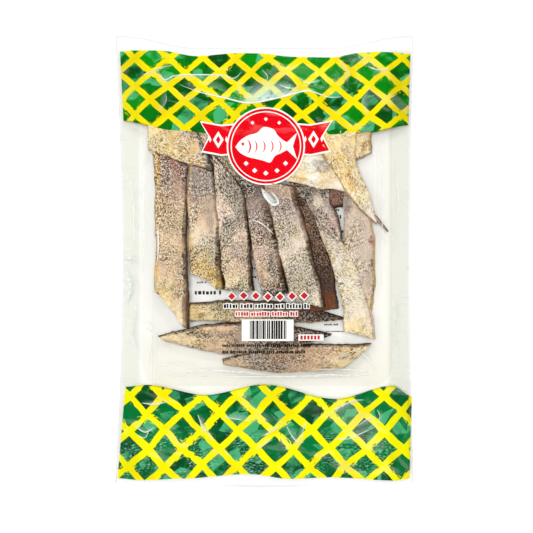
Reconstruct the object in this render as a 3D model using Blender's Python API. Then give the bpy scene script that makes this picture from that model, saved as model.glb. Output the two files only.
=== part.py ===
"""Sealed clear bag of dried croaker strips, lying on its back with the printed front up.

Blender 4.5 script in metres, +Z up. +X is the right of the bag's front and +Y its top edge.
The origin is on the surface that the bag lies on, under the middle of the bag.
The filled bag is one closed solid: flat film ends and edges, a shallow tray inside that lifts
the film, and the strips of fish in the tray, each at its own size, place and slope.
"""

from math import cos, pi, radians, sin
from typing import NamedTuple

import bmesh
import bpy
from mathutils import Vector

MM = 0.001

# The bag, laid flat: a tube of film with a seal across each end
BAG_HALF_WIDTH = 0.1012
BAG_HALF_LENGTH = 0.1530
LEFT_WAIST = 0.0048
RIGHT_WAIST = 0.0028
TOP_DIP = 0.0080
TOP_DIP_HALF_WIDTH = 0.046
TOP_DIP_BLEND = 0.050
FOOT_WAVE = 0.0014
EDGE_THICKNESS = 0.0012
SEAL_DEPTH = 0.010
POINTS_ALONG_END = 22
POINTS_ALONG_SIDE = 34
FILM_RINGS = 9

# The film's slack ripples at the two ends
RIPPLE_HEIGHT = 0.0016
RIPPLE_LENGTH = 0.047
RIPPLE_SLANT = 0.35

# The tray that holds the film up, and the film's slope from its lip down to the bag's edge
TRAY_CENTRE = Vector((0.0017, 0.0130))
TRAY_HALF_SIZE = Vector((0.0843, 0.0970))
TRAY_CORNER = 0.014
LIP_HEIGHT = 0.0088
LIP_WIDTH = 0.0046
LIP_SLOPE = 0.0040
SAG_HEIGHT = 0.0060
SIDE_SLOPE_REACH = 0.0170
END_SLOPE_REACH = 0.0360

# The strips' cut: a domed skin side over two slanting cut sides, with slightly uneven edges,
# and thinner where a strip is narrow
STRIP_THICKNESS = 0.0048
FULL_THICKNESS_WIDTH = 12.0
THINNEST_SHARE = 0.45
STRIP_CROWN = 0.0012
STRIP_LEAN = 0.0022
STRIP_STEPS = 12
STRIP_COLUMNS = 4
TAPER_POWER = 1.7
EDGE_UNEVENNESS = 0.035
EDGE_WAVES = 2.3

FILM_COLOUR = (0.62, 0.55, 0.44, 1.0)


class Strip(NamedTuple):
    """A strip of dried fish. Lengths are in millimetres and angles in degrees.

    x, y is its middle and heading the way that its head end points, anticlockwise from +X.
    A cut moves an end's left corner on and its right corner back; a taper is an end's width
    over the strip's. The bow bends it to the left, the roll lifts its left edge, the pitch
    lifts its head end, and base is the height of its underside at its middle.
    """

    x: float
    y: float
    heading: float
    length: float
    width: float
    head_cut: float
    head_taper: float
    foot_cut: float
    foot_taper: float
    bow: float
    base: float
    roll: float
    pitch: float


# From the lowest in the tray to the highest
STRIPS = (
    Strip(64.6, 2.5, 92.5, 76, 20.4, -6, 0.80, 0, 0.60, 0.0, 2.4, 4, 2),
    Strip(-19.0, 77.0, 313.0, 72, 24.0, 0, 0.80, 0, 0.90, 0.0, 2.6, 3, -1),
    Strip(60.0, 88.0, 95.0, 32, 23.0, 0, 0.90, 8, 0.90, 0.0, 2.4, 2, 0),
    Strip(-59.8, 83.2, 163.0, 40, 28.0, -8, 0.95, 22, 1.00, 0.0, 3.6, 2, 2),
    Strip(34.8, 4.0, 97.0, 80, 22.0, 0, 0.72, 0, 0.85, 0.0, 3.4, 3, 0),
    Strip(50.8, -11.5, 108.8, 82, 16.0, 5, 0.44, -12, 1.15, -5.5, 4.6, 4, 1),
    Strip(40.3, 32.2, 118.6, 43, 14.0, 18, 1.57, 0, 0.24, 0.0, 6.2, -3, -4),
    Strip(38.0, 64.4, 167.5, 60, 26.0, 0, 0.90, 0, 0.85, 0.0, 5.4, 3, 0),
    Strip(76.7, 27.3, 129.5, 20, 2.0, 0, 1.00, 0, 0.50, 0.0, 6.6, 0, 0),
    Strip(60.0, 58.2, 296.0, 73, 15.5, 0, 0.08, -14, 2.40, -3.2, 6.8, -4, -1),
    Strip(-1.0, -34.8, 178.5, 99, 14.0, 0, 0.85, 12, 0.62, 0.0, 3.4, 5, 0),
    Strip(-40.6, 24.6, 92.4, 77, 22.5, 6, 0.74, -12, 1.00, 0.0, 4.6, -4, 1),
    Strip(-1.2, 19.0, 101.5, 86, 19.5, 0, 0.90, 0, 0.90, 0.0, 4.8, -4, 1),
    Strip(-63.2, 18.6, 90.4, 103, 20.6, 11, 1.12, -25, 1.12, 0.0, 6.0, -5, -1),
    Strip(-20.8, 20.2, 95.0, 81, 19.8, 26, 0.97, -2, 0.95, 0.0, 7.8, -5, -1),
    Strip(20.0, 9.5, 102.9, 79, 21.0, 8, 0.92, -10, 1.00, 0.0, 8.2, -6, -1),
    Strip(-14.0, -52.0, 180.5, 112, 21.5, -6, 0.18, -8, 0.16, 0.0, 3.4, -4, 0),
    Strip(17.2, -66.4, 182.0, 91, 17.5, 0, 0.18, -20, 0.93, 0.0, 2.8, -3, 0),
)


def smooth_step(value: float) -> float:
    """Rises from 0 to 1 as value does, level at both ends."""
    held = max(0.0, min(1.0, value))
    return held * held * (3.0 - 2.0 * held)


def clear_scene():
    for thing in list(bpy.data.objects):
        bpy.data.objects.remove(thing, do_unlink=True)


def object_of(mesh: bmesh.types.BMesh, name: str, collection) -> bpy.types.Object:
    """Puts a closed bmesh, its faces turned outwards, on a new object of a collection."""
    bmesh.ops.recalc_face_normals(mesh, faces=mesh.faces[:])
    data = bpy.data.meshes.new(name)
    mesh.to_mesh(data)
    mesh.free()
    thing = bpy.data.objects.new(name, data)
    collection.objects.link(thing)
    return thing


def bag_outline(across: float, along: float) -> Vector:
    """The place in plan of a point given as -1 to 1 from left to right and foot to top."""
    x = BAG_HALF_WIDTH * across
    waist = LEFT_WAIST if across < 0.0 else RIGHT_WAIST
    x -= waist * across * cos(along * pi / 2.0)
    dip = TOP_DIP * (1.0 - smooth_step((abs(x) - TOP_DIP_HALF_WIDTH) / TOP_DIP_BLEND))
    y = BAG_HALF_LENGTH * along
    y -= dip * max(0.0, along) ** 4
    y += FOOT_WAVE * (1.0 - cos(pi * across)) * max(0.0, -along) ** 4
    return Vector((x, y))


def tray_outline(across: float, along: float, inset: float) -> Vector:
    """The matching place on the tray's round-cornered outline, or on one set in from it."""
    half = TRAY_HALF_SIZE - Vector((inset, inset))
    corner = TRAY_CORNER - inset
    off = Vector((half.x * across, half.y * along))
    middle = Vector((
        max(corner - half.x, min(half.x - corner, off.x)),
        max(corner - half.y, min(half.y - corner, off.y)),
    ))
    beyond = off - middle
    if beyond.x and beyond.y:
        off = middle + beyond.normalized() * corner
    return TRAY_CENTRE + off


def film_height(place: Vector, lip: Vector) -> float:
    """The film's height: thin at the bag's edge, up a slope to the lip, rippled at the ends."""
    off = place - lip
    away = Vector((off.x / SIDE_SLOPE_REACH, off.y / END_SLOPE_REACH)).length
    slope = 1.0 - smooth_step(away)
    slack = smooth_step((BAG_HALF_LENGTH - abs(place.y)) / SEAL_DEPTH - 0.6) * (1.0 - slope)
    turn = 2.0 * pi * (place.x + RIPPLE_SLANT * place.y) / RIPPLE_LENGTH
    ripple = RIPPLE_HEIGHT * slack * (1.0 + sin(turn)) / 2.0
    return EDGE_THICKNESS + (LIP_HEIGHT - EDGE_THICKNESS) * slope + ripple


def along_edge(turn: float) -> tuple[float, float]:
    """A share of the way round the bag, as -1 to 1 from left to right and foot to top."""
    side, end = POINTS_ALONG_SIDE, POINTS_ALONG_END
    walked = (turn % 1.0) * 2.0 * (side + end)
    if walked < side:
        return 1.0, 2.0 * walked / side - 1.0
    if walked < side + end:
        return 1.0 - 2.0 * (walked - side) / end, 1.0
    if walked < 2 * side + end:
        return -1.0, 1.0 - 2.0 * (walked - side - end) / side
    return 2.0 * (walked - 2 * side - end) / end - 1.0, -1.0


def front_point(turn: float, ring: int) -> Vector:
    """A point of the bag's skin: ring 0 is the back's edge, and the last is the sag in the tray."""
    across, along = along_edge(turn)
    edge = bag_outline(across, along)
    lip = tray_outline(across, along, 0.0)
    if ring == 0:
        return edge.to_3d()
    if ring <= FILM_RINGS + 1:
        place = edge.lerp(lip, (ring - 1) / FILM_RINGS)
        return Vector((place.x, place.y, film_height(place, lip)))
    inset = LIP_WIDTH if ring == FILM_RINGS + 2 else LIP_WIDTH + LIP_SLOPE
    height = LIP_HEIGHT if ring == FILM_RINGS + 2 else SAG_HEIGHT
    place = tray_outline(across, along, inset)
    return Vector((place.x, place.y, height))


def make_pouch(collection) -> bpy.types.Object:
    """The filled film: a flat back, and a front that slopes up to the tray's lip and sags inside."""
    mesh = bmesh.new()
    rings = FILM_RINGS + 3
    points_round = 2 * (POINTS_ALONG_SIDE + POINTS_ALONG_END)
    bmesh.ops.create_grid(mesh, x_segments=points_round, y_segments=rings, size=1.0)
    for point in mesh.verts:
        turn, ring = (point.co.x + 1.0) / 2.0, round((point.co.y + 1.0) / 2.0 * rings)
        point.co = front_point(turn, ring)
    bmesh.ops.remove_doubles(mesh, verts=mesh.verts[:], dist=EDGE_THICKNESS / 100)
    bmesh.ops.holes_fill(mesh, edges=mesh.edges[:], sides=0)
    return object_of(mesh, "pouch", collection)


def local_width(strip: Strip, s: float, u: float) -> float:
    """A strip's width in millimetres at s, with the unevenness of the edge that u is nearer to."""
    taper = strip.head_taper if s > 0.0 else strip.foot_taper
    narrow = 1.0 - (1.0 - taper) * abs(s) ** TAPER_POWER
    return strip.width * narrow * (1.0 + EDGE_UNEVENNESS * sin(pi * EDGE_WAVES * s + strip.x + u))


def local_thickness(strip: Strip, s: float, u: float) -> float:
    """A strip's thickness in metres between its domed skin side and its flat underside."""
    full = min(1.0, local_width(strip, s, 0.0) / FULL_THICKNESS_WIDTH)
    share = THINNEST_SHARE + (1.0 - THINNEST_SHARE) * full
    return (STRIP_THICKNESS - STRIP_CROWN * u * u) * share


def under_point(strip: Strip, s: float, u: float) -> Vector:
    """A point under a strip: s is -1 at its foot and 1 at its head, and u is 1 at its left."""
    cut = strip.head_cut if s > 0.0 else -strip.foot_cut
    along = s * strip.length / 2.0 + u * cut / 2.0 * abs(s)
    across = u * local_width(strip, s, u) / 2.0 + strip.bow * (1.0 - s * s)
    height = strip.base + u * sin(radians(strip.roll)) * strip.width / 2.0
    height += s * sin(radians(strip.pitch)) * strip.length / 2.0
    ahead = Vector((cos(radians(strip.heading)), sin(radians(strip.heading)), 0.0))
    left = Vector((-ahead.y, ahead.x, 0.0))
    return (Vector((strip.x, strip.y, height)) + ahead * along + left * across) * MM


def make_strip(strip: Strip, name: str, collection) -> bpy.types.Object:
    """A closed strip: the domed skin side, and a flat underside that leans out to the right."""
    mesh = bmesh.new()
    bmesh.ops.create_grid(mesh, x_segments=STRIP_STEPS, y_segments=STRIP_COLUMNS, size=1.0)
    made = bmesh.ops.extrude_face_region(mesh, geom=mesh.faces[:])["geom"]
    under = {part for part in made if isinstance(part, bmesh.types.BMVert)}
    right = radians(strip.heading - 90.0)
    for point in mesh.verts:
        s, u = point.co.x, point.co.y
        thickness = local_thickness(strip, s, u)
        rise = Vector((0.0, 0.0, thickness))
        lean = Vector((cos(right), sin(right), 0.0)) * STRIP_LEAN * thickness / STRIP_THICKNESS
        point.co = under_point(strip, s, u) + (lean if point in under else rise)
    return object_of(mesh, name, collection)


def film_material() -> bpy.types.Material:
    """Clear gloss film, in the colour of the fish under it."""
    material = bpy.data.materials.new("filled_film")
    material.use_nodes = True
    shader = material.node_tree.nodes["Principled BSDF"]
    shader.inputs["Base Color"].default_value = FILM_COLOUR
    shader.inputs["Metallic"].default_value = 0.0
    shader.inputs["Roughness"].default_value = 0.22
    return material


def join_into(solid: bpy.types.Object, pieces: bpy.types.Collection):
    """Fuses a collection's pieces to a solid by one Boolean union, and removes them."""
    union = solid.modifiers.new("fuse", "BOOLEAN")
    union.operation = "UNION"
    union.operand_type = "COLLECTION"
    union.collection = pieces
    graph = bpy.context.evaluated_depsgraph_get()
    fused = bpy.data.meshes.new_from_object(solid.evaluated_get(graph))
    solid.modifiers.clear()
    solid.data = fused
    for piece in list(pieces.objects):
        bpy.data.objects.remove(piece, do_unlink=True)
    bpy.data.collections.remove(pieces)


def centre_in_plan(solid: bpy.types.Object):
    """Moves a solid's points so that the origin is under the middle of its box."""
    corners = [Vector(corner) for corner in solid.bound_box]
    middle = (min(corners, key=lambda c: c.x + c.y) + max(corners, key=lambda c: c.x + c.y)) / 2.0
    for point in solid.data.vertices:
        point.co -= Vector((middle.x, middle.y, 0.0))


def main():
    clear_scene()
    bag = make_pouch(bpy.context.scene.collection)
    bag.name = "bag"
    contents = bpy.data.collections.new("contents")
    bpy.context.scene.collection.children.link(contents)
    for number, strip in enumerate(STRIPS):
        make_strip(strip, f"strip_{number}", contents)
    join_into(bag, contents)
    centre_in_plan(bag)
    bag.data.materials.clear()
    bag.data.materials.append(film_material())


main()
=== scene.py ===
"""The looks of a sealed bag of dried croaker strips: its film, print, tray and fish.

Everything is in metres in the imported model's frame: +X to the right of the printed front, +Y to
the bag's top edge and +Z up out of the front, with the floor at zero.
"""

import logging
import random
from dataclasses import dataclass
from enum import Enum
from math import atan2, cos, hypot, pi, radians, sin
from typing import Optional, Sequence, Union

import bmesh
import bpy
import numpy as np
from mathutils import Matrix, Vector, noise
from mathutils.bvhtree import BVHTree

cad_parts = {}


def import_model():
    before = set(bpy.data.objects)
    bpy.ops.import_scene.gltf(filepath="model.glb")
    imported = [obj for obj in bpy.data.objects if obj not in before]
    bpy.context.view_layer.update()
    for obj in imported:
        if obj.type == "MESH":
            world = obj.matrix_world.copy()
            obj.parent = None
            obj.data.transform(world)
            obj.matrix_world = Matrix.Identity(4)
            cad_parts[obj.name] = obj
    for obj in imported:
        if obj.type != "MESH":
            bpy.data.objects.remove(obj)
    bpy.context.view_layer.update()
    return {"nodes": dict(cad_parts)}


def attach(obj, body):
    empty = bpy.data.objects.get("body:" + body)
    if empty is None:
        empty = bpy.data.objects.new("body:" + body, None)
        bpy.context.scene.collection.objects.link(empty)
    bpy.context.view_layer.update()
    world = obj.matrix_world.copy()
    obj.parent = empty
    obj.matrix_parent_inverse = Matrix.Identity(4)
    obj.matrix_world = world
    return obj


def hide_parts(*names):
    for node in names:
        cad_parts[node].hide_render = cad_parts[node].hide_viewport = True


LOG = logging.getLogger("croaker_bag")

MM = 0.001
INK_SPECULAR = 0.04
INK_RELIEF = 0.00002
Colour = tuple[float, float, float, float]
Place = tuple[float, float]
Socket = bpy.types.NodeSocket
Value = Union[float, Colour, Vector, tuple, Socket]
WHITE: Colour = (1.0, 1.0, 1.0, 1.0)


def screen(red: int, green: int, blue: int) -> Colour:
    """Turns an 8-bit screen colour into a linear one.

    Args:
        red: red, 0 to 255.
        green: green, 0 to 255.
        blue: blue, 0 to 255.

    Returns:
        The linear colour, with an alpha of 1.
    """
    shares = (red / 255.0, green / 255.0, blue / 255.0)
    linear = [s / 12.92 if s <= 0.04045 else ((s + 0.055) / 1.055) ** 2.4 for s in shares]
    return (linear[0], linear[1], linear[2], 1.0)


def smooth_step(value: float) -> float:
    """Rises from 0 to 1 as value does, level at both ends."""
    held = max(0.0, min(1.0, value))
    return held * held * (3.0 - 2.0 * held)


def eased(knots: Sequence[Place], steps: int) -> list[Place]:
    """Draws a smooth line through knots.

    Args:
        knots: the places that it passes.
        steps: how many points it gets from one knot to the next.

    Returns:
        The line's points.
    """
    held = [knots[0], *knots, knots[-1]]
    line = []
    for before, start, end, after in zip(held, held[1:], held[2:], held[3:]):
        for step in range(steps):
            t = step / steps
            line.append(tuple(
                0.5 * (2 * b + (c - a) * t + (2 * a - 5 * b + 4 * c - d) * t * t
                       + (3 * b - a - 3 * c + d) * t * t * t)
                for a, b, c, d in zip(before, start, end, after)))
    line.append(knots[-1])
    return line


class Shades:
    """A material's node tree, built one node at a time."""

    def __init__(self, name: str) -> None:
        """Starts an empty material with an output.

        Args:
            name: the material's name.
        """
        self.material = bpy.data.materials.new(name)
        self.material.use_nodes = True
        self.tree = self.material.node_tree
        self.tree.nodes.clear()
        self.output = self.tree.nodes.new("ShaderNodeOutputMaterial")

    def put(self, socket: Socket, value: Value) -> None:
        """Links a socket to an output, or sets its own value.

        Args:
            socket: the socket.
            value: the output or the value.
        """
        if isinstance(value, bpy.types.NodeSocket):
            self.tree.links.new(value, socket)
        else:
            socket.default_value = value

    def node(self, kind: str, inputs: dict[Union[str, int], Value],
             **settings: object) -> bpy.types.Node:
        """Adds a node.

        Args:
            kind: the node's type, without its ShaderNode prefix.
            inputs: socket names or numbers, with what goes into each.
            settings: the node's own properties.

        Returns:
            The new node.
        """
        made = self.tree.nodes.new("ShaderNode" + kind)
        for name, setting in settings.items():
            setattr(made, name, setting)
        for key, value in inputs.items():
            self.put(made.inputs[key], value)
        return made

    def math(self, operation: str, first: Value, second: Value = 0.0,
             third: Value = 0.0) -> Socket:
        """Adds a Math node and returns its value."""
        inputs = {0: first, 1: second, 2: third}
        return self.node("Math", inputs, operation=operation).outputs[0]

    def plus(self, first: Value, second: Value) -> Socket:
        """Adds two values."""
        return self.math("ADD", first, second)

    def minus(self, first: Value, second: Value) -> Socket:
        """Takes the second value from the first."""
        return self.math("SUBTRACT", first, second)

    def times(self, first: Value, second: Value) -> Socket:
        """Multiplies two values."""
        return self.math("MULTIPLY", first, second)

    def parts(self, vector: Socket) -> Sequence[Socket]:
        """Splits a vector into its x, y and z."""
        return self.node("SeparateXYZ", {0: vector}).outputs

    def span(self, value: Value, low: float, high: float, to: Place = (0.0, 1.0),
             smooth: bool = True) -> Socket:
        """Maps low..high to a range, held at its ends.

        Args:
            value: what is mapped.
            low: the value that gives the range's first end.
            high: the value that gives its last end.
            to: the range.
            smooth: whether the ends are eased.

        Returns:
            The mapped value.
        """
        made = self.node(
            "MapRange",
            {"Value": value, "From Min": low, "From Max": high, "To Min": to[0], "To Max": to[1]},
            interpolation_type="SMOOTHSTEP" if smooth else "LINEAR",
        )
        return made.outputs["Result"]

    def mix(self, share: Value, first: Value, second: Value, blend: str = "MIX") -> Socket:
        """Mixes two colours.

        Args:
            share: the second colour's share.
            first: the first colour.
            second: the second colour.
            blend: how they are mixed.

        Returns:
            The mixed colour.
        """
        inputs = {0: share, 6: first, 7: second}
        return self.node("Mix", inputs, data_type="RGBA", blend_type=blend,
                         clamp_result=True).outputs[2]

    def noise(self, place: Value, scale: float, detail: float = 2.0, rough: float = 0.5,
              warp: float = 0.0) -> Socket:
        """Adds cloudy noise.

        Args:
            place: where it is read, in metres.
            scale: how many features there are to a metre.
            detail: how many finer layers it has.
            rough: how strong the finer layers are.
            warp: how far it is warped by itself.

        Returns:
            The noise's value, around 0.5.
        """
        made = self.node("TexNoise", {
            "Vector": place, "Scale": scale, "Detail": detail, "Roughness": rough,
            "Distortion": warp,
        })
        return made.outputs["Fac"]

    def grain(self, place: Value, size: tuple[float, float, float], turn: float = 0.0,
              detail: float = 2.0, rough: float = 0.5, warp: float = 0.0) -> Socket:
        """Adds noise that is stretched: size is its features to a metre along each turned axis."""
        return self.noise(self.stretched(place, size, turn), 1.0, detail, rough, warp)

    def around(self, value: Value, gain: float) -> Socket:
        """Shifts noise to lie around zero, and scales it."""
        return self.math("MULTIPLY_ADD", value, gain, -0.5 * gain)

    def object_place(self) -> Socket:
        """Returns the place on the piece, in the frame's metres."""
        return self.node("TexCoord", {}).outputs["Object"]

    def attribute(self, name: str) -> Socket:
        """Returns a vector that the piece's mesh carries."""
        return self.node("Attribute", {}, attribute_name=name).outputs["Vector"]

    def stretched(self, place: Value, scale: tuple[float, float, float],
                  turn: float = 0.0) -> Socket:
        """Scales a place along turned axes.

        Args:
            place: the place in metres.
            scale: the features to a metre along each axis; 0 flattens it.
            turn: how far the axes are turned about Z, in radians.

        Returns:
            The scaled place.
        """
        sizes = tuple(1.0 / one if one else 0.0 for one in scale)
        inputs = {"Vector": place, "Rotation": (0.0, 0.0, turn), "Scale": sizes}
        return self.node("Mapping", inputs, vector_type="TEXTURE").outputs[0]

    def edge_gloss(self, least: float, most: float, normal: Optional[Value] = None) -> Socket:
        """Gives a thin sheet's gloss, alike from both sides.

        Args:
            least: the gloss face on.
            most: the gloss edge on.
            normal: the relief's normal, if it has any.

        Returns:
            The gloss's share.
        """
        inputs = {"Blend": 0.5} if normal is None else {"Blend": 0.5, "Normal": normal}
        facing = self.node("LayerWeight", inputs).outputs["Facing"]
        return self.math("MULTIPLY_ADD", self.math("POWER", facing, 5.0), most - least, least)

    def bump(self, height: Value, depth: float) -> Socket:
        """Adds relief whose height of 1 stands for a depth in metres, and returns the normal."""
        return self.node("Bump", {"Height": height, "Distance": depth}).outputs[0]

    def layered(self, share: Value, under: Socket, over: Socket) -> Socket:
        """Lays one surface over another by a share."""
        return self.node("MixShader", {0: share, 1: under, 2: over}).outputs[0]

    def clear(self, tint: Value) -> Socket:
        """Gives a see-through surface of a tint."""
        return self.node("BsdfTransparent", {"Color": tint}).outputs[0]

    def chalky(self, colour: Value) -> Socket:
        """Gives a matt surface of a colour."""
        return self.node("BsdfDiffuse", {"Color": colour}).outputs[0]

    def glossed(self, body: Socket, edge_on: Socket, roughness: float,
                normal: Socket) -> bpy.types.Material:
        """Lays gloss over a thin plastic's body and finishes its material."""
        gloss = self.node("BsdfGlossy", {"Roughness": roughness, "Normal": normal}).outputs[0]
        return self.finish(self.layered(edge_on, body, gloss))

    def painted(self, colour: Value, roughness: Value, specular: float,
                normal: Optional[Socket] = None) -> bpy.types.Material:
        """Finishes the material as opaque paint.

        Args:
            colour: its colour.
            roughness: how matt it is.
            specular: its gloss face on, set as a constant.
            normal: the normal of its relief, if it has any.

        Returns:
            The material.
        """
        inputs = {"Base Color": colour, "Roughness": roughness}
        if normal is not None:
            inputs["Normal"] = normal
        paint = self.node("BsdfPrincipled", inputs)
        paint.inputs["Specular IOR Level"].default_value = specular
        return self.finish(paint.outputs[0])

    def finish(self, surface: Socket) -> bpy.types.Material:
        """Wires the surface to the output and returns the material."""
        self.tree.links.new(surface, self.output.inputs["Surface"])
        return self.material


@dataclass(frozen=True)
class ClearFilm:
    """Clear gloss film, finely crinkled, with pale veils where it lies slack."""

    name: str = "clear_film"
    tint: Colour = (0.997, 0.996, 0.988, 1.0)
    margin_tint: Colour = (0.947, 0.951, 0.925, 1.0)
    right_tint: Colour = (0.937, 0.938, 0.914, 1.0)
    end_tint: Colour = (0.978, 0.978, 0.978, 1.0)
    rim_tint: Colour = (0.895, 0.90, 0.90, 1.0)
    milk: Colour = (0.95, 0.96, 0.93, 1.0)
    haze: float = 0.001
    veil: float = 0.08
    least_gloss: float = 0.005
    edge_gloss: float = 0.55
    roughness: float = 0.06
    crinkle: float = 0.00030

    def material(self) -> bpy.types.Material:
        """Builds the film's material.

        Returns:
            A see-through material whose gloss follows its crinkles.
        """
        shades = Shades(self.name)
        place = shades.object_place()
        broad = shades.grain(place, (52.0, 30.0, 50.0), 0.3, 3.0, 0.5, 0.6)
        fine = shades.noise(place, 230.0, 2.0, 0.6, 0.4)
        normal = shades.bump(shades.math("MULTIPLY_ADD", fine, 0.15, broad), self.crinkle)
        slack = shades.parts(shades.attribute("slack"))
        across = shades.parts(place)[0]
        margin = shades.mix(shades.span(across, 0.0, 0.02), self.margin_tint, self.right_tint)
        tint = shades.mix(slack[1], self.tint, margin)
        tint = shades.mix(shades.span(slack[2], 0.0, 1.0), tint, self.end_tint)
        tint = shades.mix(shades.span(slack[2], 1.0, 2.0), tint, self.rim_tint)
        streaks = shades.grain(place, (34.0, 78.0, 30.0), -0.35, 2.0, 0.5, 1.0)
        veil = shades.times(shades.span(streaks, 0.56, 0.64, (0.0, self.veil)), slack[0])
        share = shades.plus(veil, self.haze)
        body = shades.layered(share, shades.clear(tint), shades.chalky(self.milk))
        edge_on = shades.edge_gloss(self.least_gloss, self.edge_gloss, normal)
        return shades.glossed(body, edge_on, self.roughness, normal)


@dataclass(frozen=True)
class GlintAndSheenFilm:
    """Painted glints and sheen, on partly whitened film, by as much as the attribute cover says."""

    name: str
    white: Colour

    def material(self) -> bpy.types.Material:
        """Builds the material of the painted glints and sheen.

        Returns:
            The material.
        """
        shades = Shades(self.name)
        place = shades.object_place()
        gaps = shades.grain(place, (150.0, 260.0, 150.0), 0.4, 2.0, 0.6, 0.8)
        cover = shades.parts(shades.attribute("cover"))[0]
        # painted glint and sheen: a matt colour laid over clear film by the cover and a noise
        share = shades.times(cover, shades.span(gaps, 0.28, 0.58, (0.45, 1.0)))
        return shades.finish(shades.layered(share, shades.clear(WHITE), shades.chalky(self.white)))


@dataclass(frozen=True)
class PlainInk:
    """Ink of one colour on film, with a faint unevenness in its cover."""

    name: str
    colour: Colour
    deeper: Colour
    roughness: float = 0.38

    def material(self) -> bpy.types.Material:
        """Builds the ink's material.

        Returns:
            The material.
        """
        shades = Shades(self.name)
        place = shades.object_place()
        cover = shades.noise(place, 45.0, 3.0, 0.6)
        grain = shades.noise(place, 1500.0, 2.0, 0.7)
        colour = shades.mix(shades.span(cover, 0.35, 0.75), self.colour, self.deeper)
        colour = shades.mix(shades.span(grain, 0.62, 0.8, (0.0, 0.25)), colour, self.deeper)
        return shades.painted(
            colour, self.roughness, INK_SPECULAR, shades.bump(grain, INK_RELIEF))


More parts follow.
